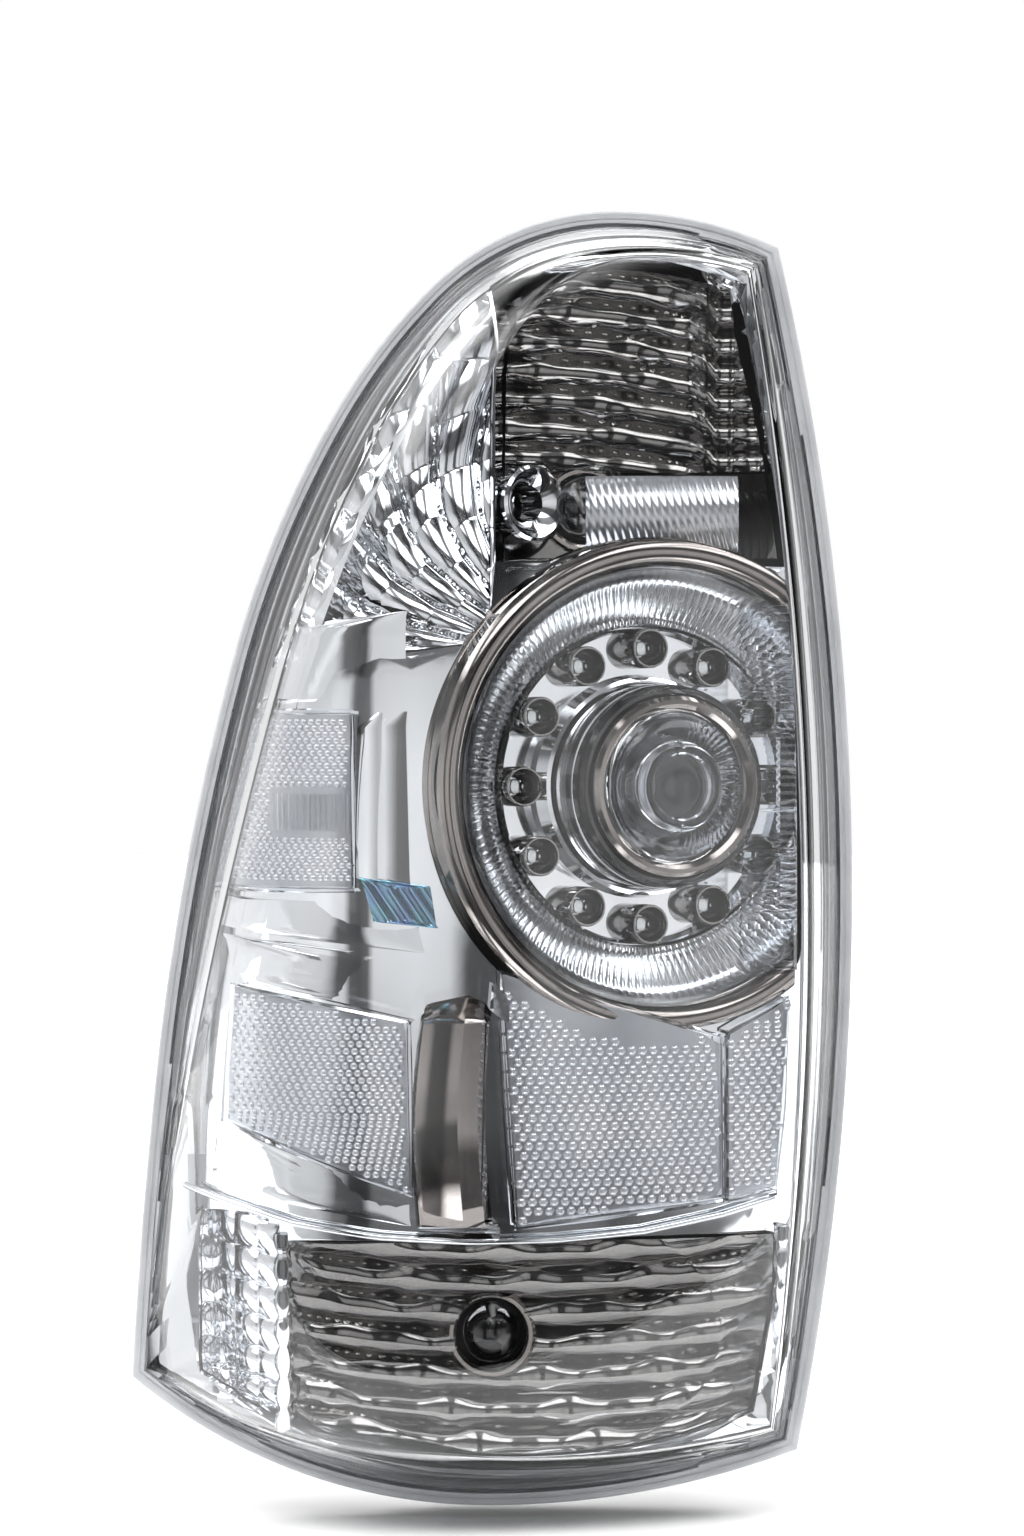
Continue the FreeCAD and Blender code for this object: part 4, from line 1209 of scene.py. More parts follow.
@dataclass
class Mask(SubAssembly):
    """The metallised sheet between the chambers."""

    depth: float = 16.0
    rearmost: float = -36.6
    base: float = FORM.land + 4.6
    skirt_end: float = -35.6
    spacing: float = 5.0
    thick: float = 1.6

    def height(self, x: float, z: float) -> float:
        """The sheet's Y at a point."""
        return min(FORM.under(x, z, self.depth, ZONES.drawn), self.rearmost)

    def build(self) -> None:
        """Builds the sheet with an opening for each chamber and the round unit."""
        edge = FORM.edge(self.base, self.depth)
        outer = [FORM.at(i, inset) for i, inset in enumerate(edge)]
        holes = [ZONES.upper(), ZONES.fins(), ZONES.lower(), ZONES.lower_side(), RING.circle(79.5, -4.0)]
        points: list[Point2] = []
        edges: list[tuple[int, int]] = []
        for loop in [outer] + holes:
            first = len(points)
            points += loop
            edges += [(first + i, first + (i + 1) % len(loop)) for i in range(len(loop))]
        low_x, high_x = min(p[0] for p in outer), max(p[0] for p in outer)
        low_z, high_z = min(p[1] for p in outer), max(p[1] for p in outer)
        nx, nz = int((high_x - low_x) / self.spacing), int((high_z - low_z) / self.spacing)
        for i in range(1, nx):
            for j in range(1, nz):
                spot = (low_x + i * self.spacing, low_z + (j + 0.5 * (i % 2)) * self.spacing)
                if inside(spot, outer):
                    points.append(spot)
        verts, _, faces, _, _, _ = delaunay_2d_cdt([Vector(p) for p in points], edges, [], 0, 1e-4)
        flat = [tuple(v) for v in verts]
        kept = []
        for face in faces:
            middle = (sum(flat[i][0] for i in face) / 3.0, sum(flat[i][1] for i in face) / 3.0)
            if inside(middle, outer) and not any(inside(middle, hole) for hole in holes):
                kept.append(face)
        bm = bmesh.new()
        front = [bm.verts.new((x, self.height(x, z), z)) for x, z in flat]
        back = [bm.verts.new((v.co.x, v.co.y + self.thick, v.co.z)) for v in front]
        for face in kept:
            bm.faces.new([front[i] for i in face])
            bm.faces.new([back[i] for i in reversed(face)])
        twin = dict(zip(front, back))
        rim = [e for e in bm.edges if len(e.link_faces) == 1 and all(v in twin for v in e.verts)]
        for a, b in [tuple(e.verts) for e in rim]:
            bm.faces.new((a, b, twin[b], twin[a]))
        for vert in [v for v in bm.verts if not v.link_faces]:
            bm.verts.remove(vert)
        self.make(bm, "bezel_mask", Slot.BEZEL, "inner_bezel", sharp=24.0)
        self.build_skirt(edge)

    def build_skirt(self, edge: Sequence[float]) -> None:
        """Builds the sheet's side skirt, which runs back inside the lens's wall.

        Args:
            edge: The sheet's inset at each of the outline's points.
        """
        bm = bmesh.new()
        sections = []
        for i, inset in enumerate(edge):
            section = []
            for share, deeper in ((0.0, 0.0), (0.5, 0.0), (1.0, 0.0), (1.0, self.thick), (0.0, self.thick)):
                x, z = FORM.at(i, inset + deeper)
                near = self.height(x, z)
                x, z = FORM.at(i, inset + (self.base - inset) * share + deeper)
                section.append(bm.verts.new((x, near + (self.skirt_end - near) * share, z)))
            sections.append(section)
        for a, b in zip(sections, sections[1:] + sections[:1]):
            for k in range(len(a)):
                m = (k + 1) % len(a)
                bm.faces.new((a[k], a[m], b[m], b[k]))
        self.make(bm, "bezel_skirt", Slot.BEZEL, sharp=40.0)


@dataclass
class UpperChamber(SubAssembly):
    """The upper chamber: rows of dark pillows on a bowl, its walls, and the bulb's clear shade."""

    axis: Point2 = (0.0, 112.0)
    vertex: float = -18.5
    radius: float = 112.0
    shallow: float = 0.5
    pitch: float = 9.6
    lift: float = 3.3
    bulb_hole: float = 12.6
    setback: float = 6.0
    first_row: float = 124.0
    dip: float = 0.0016
    dip_centre: float = -28.0
    ridge_x: float = 40.0

    def bowl(self, x: float, z: float) -> float:
        """The smooth bowl's Y."""
        out = min(math.hypot(x - self.axis[0], z - self.axis[1]), self.radius * 0.98)
        return self.vertex - self.shallow * (self.radius - math.sqrt(self.radius ** 2 - out ** 2))

    def pillows(self, x: float, z: float) -> float:
        """The bowl with its rows of pillows.

        Args:
            x: Across.
            z: Up.

        Returns:
            The Y there.
        """
        y = self.bowl(x, z) - self.setback
        if z < self.first_row:
            return y + 2.0 * min(1.0, (self.first_row - z) / 6.0)
        dip = self.dip * (min(x, self.ridge_x) - self.dip_centre) ** 2
        phase = (z + dip - self.first_row) / self.pitch
        if x > self.ridge_x:
            beyond = min(1.0, (x - self.ridge_x) / 3.0)
            phase += 0.45 * beyond
            return y - self.lift * 1.25 * scallop(phase) - 1.2 * scallop((x - self.ridge_x) / 9.0)
        near = max(0.0, 1.0 - abs(x - self.ridge_x) / 7.0)
        row = math.floor(phase)
        comb = 0.35 * near * math.sin((x + z) * 2.1)
        wave = 0.8 * math.sin(x / 6.3 + row * 2.2) + 0.5 * math.sin(x / 2.9 + row * 1.3)
        return y - (self.lift + wave) * scallop(phase) - 2.2 * near * near + comb

    def build(self) -> None:
        """Builds the chamber."""
        loop = ZONES.upper()
        bm = bmesh.new()
        relief(bm, shrink(loop, 4.0), 110, 170, self.pillows, SHEET, (*self.axis, self.bulb_hole))
        self.make(bm, "upper_flutes", Slot.SMOKED, "upper_reflector", sharp=40.0)
        self.build_collar("upper_bulb_collar", (self.axis[0], self.bowl(*self.axis) - self.setback,
                                                self.axis[1]))
        bm = bmesh.new()
        wall_band(bm, loop, lambda x, z: FORM.y(x, z, ZONES.mouth), lambda x, z: self.bowl(x, z) - 3.0, 3.4)
        self.make(bm, "upper_walls", Slot.REFLECTOR, sharp=30.0)
        self.build_shade()
        self.build_port()

    def build_collar(self, name: str, at: Point3) -> None:
        """Builds the turned rim round a bulb's hole.

        Args:
            name: The piece's name.
            at: The hole's centre, on the reflector's face.
        """
        bm = bmesh.new()
        lathe(bm, [(11.6, 3.0), (11.6, -1.6), (12.4, -2.6), (13.6, -2.6), (14.6, -1.4), (14.9, 1.6),
                   (13.2, 3.0)], 72)
        bmesh.ops.translate(bm, vec=at, verts=bm.verts)
        self.make(bm, name, Slot.SMOKED, sharp=30.0, dress=self.paint.black_chrome)

    def build_shade(self) -> None:
        """Builds the ribbed clear shade in front of the upper bulb."""
        bm = bmesh.new()
        low, high, left, right = 95.5, 122.0, 0.0, 50.0
        nx, nz = 160, 24

        def face(x: float, z: float) -> float:
            """The shade's Y at a point: bowed both ways, with slanting ribs.

            Args:
                x: Across.
                z: Up.

            Returns:
                The Y there.
            """
            across, up = (x - left) / (right - left), (z - low) / (high - low)
            rib = 0.8 * scallop((x + 0.3 * z) / 2.5) * scallop(0.12 + 0.76 * up)
            return -44.0 - 9.0 * scallop(0.08 + 0.84 * up) - 3.0 * scallop(0.05 + 0.9 * across) - rib

        rows = [[(left + (right - left) * i / nx, 0.0, low + (high - low) * j / nz) for i in range(nx + 1)]
                for j in range(nz + 1)]
        front = [[(x, face(x, z), z) for x, _, z in row] for row in rows]
        back = [[(x, y + 2.6, z) for x, y, z in row] for row in front]
        grid_solid(bm, front, back)
        self.make(bm, "bulb_shade", Slot.REFLECTOR, sharp=60.0, dress=self.paint.beads)

    def build_port(self) -> None:
        """Builds the turned collar at the left of the bulb's shade."""
        bm = bmesh.new()
        lathe(bm, [(6.0, 3.0), (9.5, 0.0), (11.5, -1.0), (12.5, -0.2), (12.5, 2.0), (10.0, 4.0), (9.0, 14.0),
                   (6.6, 14.0)], 64)
        turn = Matrix.Translation((-17.0, -52.0, 113.0)) @ Matrix.Rotation(math.radians(38.0), 4, "Z")
        bmesh.ops.transform(bm, matrix=turn, verts=bm.verts)
        self.make(bm, "bulb_port_collar", Slot.REFLECTOR, sharp=30.0)


@dataclass
class FinChamber(SubAssembly):
    """The upper-left chamber: a fan of tall curved fins."""

    pivot: Point2 = (-16.0, 60.0)
    fins: float = 13.0
    front: float = 16.0
    hollow: float = 17.0
    curl: float = 9.0
    curl_length: float = 26.0
    crinkle: float = 0.9

    def height(self, x: float, z: float) -> float:
        """The fan's Y at a point.

        Args:
            x: Across.
            z: Up.

        Returns:
            The Y there.
        """
        dx, dz = x - self.pivot[0], z - self.pivot[1]
        angle = math.degrees(math.atan2(dz, -dx))
        reach = math.hypot(dx, dz)
        phase = (angle + self.curl * math.sin(reach / self.curl_length)) / self.fins
        y = FORM.y(x, z, self.front) + self.hollow * min(1.0, (reach - 8.0) / 60.0)
        lift = 1.2 + 4.6 * min(1.0, reach / 110.0)
        crest = scallop(phase) ** 0.8
        crinkle = self.crinkle * scallop(reach / 17.0 + 0.4 * math.floor(phase))
        return y - lift * crest - crinkle

    def build(self) -> None:
        """Builds the fins and their walls."""
        loop = ZONES.fins()
        bm = bmesh.new()
        relief(bm, shrink(loop, 0.6), 110, 200, self.height, SHEET)
        self.make(bm, "fan_fins", Slot.REFLECTOR, "upper_side_reflector", sharp=30.0)
        bm = bmesh.new()
        wall_band(bm, loop, lambda x, z: FORM.under(x, z, ZONES.mouth, ZONES.drawn), lambda x,
                  z: FORM.y(x, z, 34.0), 0.4)
        self.make(bm, "fin_walls", Slot.REFLECTOR, sharp=30.0)


@dataclass
class LowerChamber(UpperChamber):
    """The lower chamber: bowed rows of dark pillows, a scalloped divider and the side flutes."""

    axis: Point2 = (-31.0, -160.0)
    pitch: float = 10.4
    lift: float = 3.4
    top: float = -118.0
    deepest: float = 18.0
    reach: Point2 = (76.0, 46.0)

    def dished(self, x: float, z: float) -> float:
        """The wide chamber's smooth Y: the lens's form with a hollow round the bulb."""
        off = ((x - self.axis[0]) / self.reach[0]) ** 2 + ((z - self.axis[1]) / self.reach[1]) ** 2
        return FORM.y(x, z, 26.0) + self.deepest * max(0.0, 1.0 - off)

    def bow(self, x: float) -> float:
        """How far a row rises towards its ends."""
        return 0.0011 * (x + 15.0) ** 2

    def pillows(self, x: float, z: float) -> float:
        """The wide chamber's Y at a point.

        Args:
            x: Across.
            z: Up.

        Returns:
            The Y there.
        """
        base = self.dished(x, z)
        ends = max(0.0, 1.0 - min(x + 95.0, 61.0 - x) / 9.0)
        phase = (z - self.bow(x) - self.top) / self.pitch
        row = math.floor(phase)
        across = 1.0 * math.sin(x / 6.4 + row * 1.9) + 0.6 * math.sin(x / 3.1 + row * 2.7)
        rise = self.lift * scallop(phase) * (1.0 - 0.6 * ends * ends)
        return base - rise - across * scallop(phase) - 2.0 * ends ** 2

    def side(self, x: float, z: float) -> float:
        """The narrow chamber's Y at a point.

        Args:
            x: Across.
            z: Up.

        Returns:
            The Y there.
        """
        base = FORM.y(x, z, 24.0)
        phase = (z - self.bow(x) * 0.8 - self.top) / (self.pitch * 1.06)
        column = scallop((x + 99.0) / 24.0)
        fine = 1.3 * scallop((x + 99.0) / 8.0)
        return min(base, FORM.deepest_y) - self.lift * 0.9 * scallop(phase) * (0.3 + 0.7 * column) - fine

    def build(self) -> None:
        """Builds the chamber."""
        loop = ZONES.lower()
        bm = bmesh.new()
        relief(bm, shrink(loop, 1.2), 190, 150, self.pillows, SHEET, (*self.axis, self.bulb_hole))
        self.make(bm, "lower_flutes", Slot.SMOKED, "lower_reflector", sharp=40.0)
        self.build_collar("lower_bulb_collar", (self.axis[0], self.dished(*self.axis) - 2.0, self.axis[1]))
        bm = bmesh.new()
        wall_band(bm, loop, lambda x, z: FORM.y(x, z, ZONES.mouth), lambda x, z: FORM.y(x, z, 29.0), 0.8)
        self.make(bm, "lower_walls", Slot.REFLECTOR, sharp=30.0)
        loop = ZONES.lower_side()
        bm = bmesh.new()
        relief(bm, shrink(loop, 0.8), 60, 150, self.side, SHEET)
        self.make(bm, "side_flutes", Slot.REFLECTOR, "lower_side_reflector", sharp=40.0)
        bm = bmesh.new()
        wall_band(bm, loop, lambda x, z: min(FORM.y(x, z, ZONES.mouth), FORM.deepest_y - 6.0),
                  lambda x, z: min(FORM.y(x, z, 25.0), FORM.deepest_y), 0.5)
        self.make(bm, "side_flute_walls", Slot.REFLECTOR, sharp=30.0)
        self.build_divider(-98.0, "left_divider")
        self.build_divider(65.0, "right_divider")

    def build_divider(self, x: float, name: str) -> None:
        """Builds an upright scalloped strip.

        Args:
            x: Where it stands.
            name: The piece's name.
        """
        low, high = (-190.0, -125.0)
        rows, back = [], []
        count = 160
        for j in range(count + 1):
            z = low + (high - low) * j / count
            wave = 1.5 * scallop((z - self.bow(x) - self.top) / self.pitch)
            y = min(FORM.y(x, z, 14.5), FORM.deepest_y - 7.0)
            section = [(-1.6 - wave, 2.6), (-1.0 - wave * 0.6, 0.6), (0.0, 0.0), (1.0 + wave * 0.6, 0.6),
                       (1.6 + wave, 2.6)]
            rows.append([(x + dx, y + dy, z) for dx, dy in section])
            back.append([(x + dx * 0.8, min(y + 8.0, FORM.deepest_y), z) for dx, _ in section])
        bm = bmesh.new()
        grid_solid(bm, rows, back)
        self.make(bm, name, Slot.REFLECTOR, sharp=40.0)


@dataclass(frozen=True)
class BeadPanel:
    """One prism panel: its outline, its bead pitch and its place."""

    name: str
    node: str
    corners: tuple[Point2, ...]
    pitch: float
    bead: float
    depth: float = 13.4


PANELS = (
    BeadPanel("side_panel", "side_reflex_panel", ((-116.0, 43.0), (-76.0, 43.0), (-75.0, -12.0),
                                                  (-119.5, -12.0)),
              2.3, 1.12),
    BeadPanel("lower_left_panel", "lower_side_reflex_panel",
              ((-113.0, -45.0), (-58.0, -56.0), (-57.0, -110.0), (-116.0, -88.0)), 2.7, 1.3),
    BeadPanel("lower_right_panel", "lower_reflex_panel",
              ((-27.0, -40.0), (43.0, -62.0), (44.0, -114.0), (-22.0, -121.0)), 3.5, 1.75),
    BeadPanel("lower_right_wing", "", ((46.0, -61.0), (66.0, -50.0), (62.0, -112.0), (46.5, -114.0)), 3.5,
              1.75),
)
SIDE_WINDOW = (-100.0, -77.0, 6.0, 17.7)


@dataclass(frozen=True)
class Facet:
    """One plain metallised facet: its outline, its tilt, and whether it tilts sideways."""

    name: str
    corners: tuple[Point2, ...]
    tilt: float
    sideways: bool = False
    depth: float = 15.4
    least: float = 13.0
    swell: float = 0.8

    def height(self, x: float, z: float) -> float:
        """The facet's Y at a point.

        Args:
            x: Across.
            z: Up.

        Returns:
            The Y there.
        """
        mid_x = sum(p[0] for p in self.corners) / 4.0
        mid_z = sum(p[1] for p in self.corners) / 4.0
        lean = self.tilt * (x - mid_x) / 18.0 if self.sideways else self.tilt * (z - mid_z) / 20.0
        tilted = FORM.y(mid_x * 0.5 + x * 0.5, mid_z, self.depth) + lean + self.swell * math.sin(x * 0.11)
        return max(tilted, FORM.under(x, z, self.least))


FACETS = (
    Facet("ring_facet_a", ((-73.5, 43.0), (-66.0, 43.6), (-65.0, -13.6), (-73.5, -13.0)), 7.0, True),
    Facet("ring_facet_b", ((-65.4, 43.6), (-58.0, 44.0), (-56.5, -14.0), (-64.4, -13.6)), -6.0, True),
    Facet("facet_above_side", ((-110.0, 70.0), (-58.0, 76.0), (-58.0, 46.0), (-113.0, 45.5)), -2.0),
    Facet("facet_below_panel", ((-114.0, -91.0), (-57.0, -112.5), (-57.0, -121.0), (-112.0, -112.0)), -2.0),
    Facet("shelf_below_side", ((-119.0, -15.0), (-56.0, -16.0), (-52.0, -33.0), (-117.0, -26.0)), 2.2),
    Facet("shelf_above_lower", ((-117.0, -28.0), (-52.0, -35.0), (-57.0, -53.0), (-113.0, -42.0)), -2.0),
)
TINTED_FACET: list[Point2] = [(-72.0, -9.0), (-50.0, -12.0), (-48.0, -25.0), (-68.0, -23.0)]
SHELF_LINE: tuple[Point2, ...] = (
    (-131.0, -111.6), (-94.4, -120.8), (-66.0, -124.6), (-37.9, -126.2), (-10.0, -126.0), (18.5, -124.1),
    (44.0, -119.6), (64.0, -114.4),
)


@dataclass
class PrismPanels(SubAssembly):
    """The prism panels, each a tray, a clear frame and rows of six-sided beads, and the facets round them."""

    def build(self) -> None:
        """Builds every panel."""
        for panel in PANELS:
            self.build_panel(panel)
        self.build_window()
        self.build_facets()
        self.build_tinted_facet()
        self.build_shelf_line()

    def build_panel(self, panel: BeadPanel) -> None:
        """Builds one panel's tray, frame and beads.

        Args:
            panel: Which panel.
        """
        corners = list(panel.corners)
        bm = bmesh.new()
        relief(bm, corners, 24, 24, lambda x, z: FORM.under(x, z, panel.depth + 1.2), SHEET)
        nodes = (panel.node,) if panel.node else ()
        # The tray is dressed darker than its beads: painted shade in the gaps between them.
        self.make(bm, panel.name + "_tray", Slot.BEZEL, *nodes, sharp=40.0, dress=self.paint.tray)
        bm = bmesh.new()
        ring = shrink(corners, -0.8)
        lip = []
        count = 14
        for a, b in zip(ring, ring[1:] + ring[:1]):
            lip += [(a[0] + (b[0] - a[0]) * k / count,
                     a[1] + (b[1] - a[1]) * k / count) for k in range(count)]
        wall_band(bm, lip, lambda x, z: FORM.under(x, z, panel.depth - 0.8),
                  lambda x, z: FORM.under(x, z, panel.depth + 2.6), 0.5, 1.3, 2)
        self.make(bm, panel.name + "_frame", Slot.PRISM, sharp=30.0)
        points = []
        inner = shrink(corners, panel.pitch * 0.5)
        low, high = min(p[1] for p in inner), max(p[1] for p in inner)
        rise = panel.pitch * math.sqrt(3.0) / 2.0
        ring_hole = RING.circle(83.5, -10.0)
        for j in range(int((high - low) / rise) + 1):
            z = low + j * rise
            x0, x1 = span(inner, z)
            for i in range(int((x1 - x0) / panel.pitch) + 1):
                x = x0 + (i + 0.5 * (j % 2)) * panel.pitch
                window = panel.node == "side_reflex_panel" and self.in_window(x, z)
                if x <= x1 and not window and not inside((x, z), ring_hole):
                    points.append((x, FORM.under(x, z, panel.depth + 1.2), z))
        bead = self.bead(panel.bead)
        piece = self.repeats.set_out(panel.name + "_beads", bead, points, self.paint.beads, 0.02)
        self.hand_over(piece, Slot.PRISM)

    @staticmethod
    def in_window(x: float, z: float) -> bool:
        """Whether a point lies in the side panel's clear window."""
        x0, x1, z0, z1 = SIDE_WINDOW
        return x0 - 1.4 < x < x1 + 1.4 and z0 - 1.4 < z < z1 + 1.4

    def bead(self, radius: float) -> bpy.types.Object:
        """One six-sided bead with a rounded crown, its axis along -Y.

        Args:
            radius: Its radius.

        Returns:
            The bead, at the origin.
        """
        bm = bmesh.new()
        lathe(bm, [(0.0, 0.3), (radius * 0.98, 0.3), (radius * 0.98, -0.05), (radius * 0.72, -0.32 * radius),
                   (radius * 0.34, -0.5 * radius), (0.0, -0.56 * radius)], 6)
        return finish_mesh(bm, "bead", self.paint.beads, 60.0)

    def build_window(self) -> None:
        """Builds the upright-ribbed clear window in the side panel."""
        x0, x1, z0, z1 = SIDE_WINDOW
        bm = bmesh.new()
        nx, nz = 120, 6

        def face(x: float, z: float) -> float:
            """The window's Y at a point."""
            return FORM.y(x, z, 12.6) - 0.55 * scallop((x - x0) / 1.64)

        loop = [(x0, z0), (x1, z0), (x1, z1), (x0, z1)]
        relief(bm, loop, nx, nz, face, 2.0)
        self.make(bm, "side_window", Slot.CLEAR, "side_window_lens", sharp=50.0)

    def build_facets(self) -> None:
        """Builds the plain metallised facets beside and below the panels."""
        for facet in FACETS:
            bm = bmesh.new()
            relief(bm, list(facet.corners), 30, 12, facet.height, 1.6)
            self.make(bm, facet.name, Slot.BEZEL, sharp=24.0)

    def build_tinted_facet(self) -> None:
        """Builds the small facet with a colour film."""
        bm = bmesh.new()
        relief(bm, TINTED_FACET, 40, 16,
               lambda x, z: FORM.y(x, z, 11.5) + 0.6 * math.sin(x * 0.9 + z * 0.6), SHEET)
        self.make(bm, "tinted_facet", Slot.PRISM, sharp=40.0, dress=self.paint.tint)

    def build_shelf_line(self) -> None:
        """Builds the bright line along the shelf above the lower chamber."""
        path = []
        steps = 8
        for (x0, z0), (x1, z1) in zip(SHELF_LINE, SHELF_LINE[1:]):
            for k in range(steps):
                x, z = x0 + (x1 - x0) * k / steps, z0 + (z1 - z0) * k / steps
                path.append((x, FORM.y(x, z, 13.6), z))
        bm = bmesh.new()
        tube(bm, path, 1.1, 12)
        self.make(bm, "shelf_line", Slot.BEZEL, sharp=50.0)


@dataclass
class Strap(SubAssembly):
    """The bowed chrome strap between the lower panels, with its kinked top and its foot clip."""

    x: float = -42.5
    foot: float = -121.0
    top: float = -46.0
    depth: float = 10.0
    bulge: float = 5.2
    lean: float = -2.6
    drift: float = 1.5
    kink: float = 0.88
    kink_drop: float = 9.0
    half_foot: float = 12.2
    taper: float = 1.2
    thick: float = 8.0
    steps: int = 90

    def build(self) -> None:
        """Builds the strap, its shoulders and the foot."""
        bm = bmesh.new()
        rows, back = [], []
        for j in range(self.steps + 1):
            t = j / self.steps
            z = self.foot + (self.top - self.foot) * t
            x = self.x + self.lean * math.sin(t * math.pi) + self.drift * t
            y = FORM.y(self.x, z, self.depth) - self.bulge * math.sin(t * math.pi) ** 0.8
            if t > self.kink:
                y += self.kink_drop * (t - self.kink) / (1.0 - self.kink)
            half = self.half_foot - self.taper * t
            section = [(-half, 5.5), (-half + 1.2, 1.2), (-half + 3.0, 0.4), (1.2, -1.4), (3.0, -1.5),
                       (half - 2.4, 2.2),
                       (half, 6.5)]
            rows.append([(x + dx, y + dy, z) for dx, dy in section])
            back.append([(x + dx, y + self.thick, z) for dx, _ in section])
        grid_solid(bm, rows, back)
        self.make(bm, "strap_body", Slot.SMOKED, "chrome_strap", sharp=18.0, dress=self.paint.black_chrome)
        bm = bmesh.new()
        for side in (-1.0, 1.0):
            rows = [[(-41.0 + side * (11.0 + 5.0 * i / 4), FORM.y(-41.0, -46.0,
                                                                  9.0) + 2.0 + 4.0 * i / 4 + 2.0 * j / 4,
                      -52.0 + 9.0 * j / 4 - 4.0 * i / 4) for i in range(5)] for j in range(5)]
            grid_solid(bm, rows, [[(x, y + 3.0, z) for x, y, z in row] for row in rows])
        self.make(bm, "strap_shoulders", Slot.BEZEL, sharp=20.0)
        bm = bmesh.new()
        rows = [[(-54.0 + 26.0 * i / 12, FORM.y(-42.0, -122.0, 8.0) + 0.8 * j, -124.5 + 3.0 * j / 3)
                 for i in range(13)] for j in range(4)]
        grid_solid(bm, rows, [[(x, y + 6.0, z) for x, y, z in row] for row in rows])
        self.make(bm, "strap_foot", Slot.PRISM, sharp=30.0)


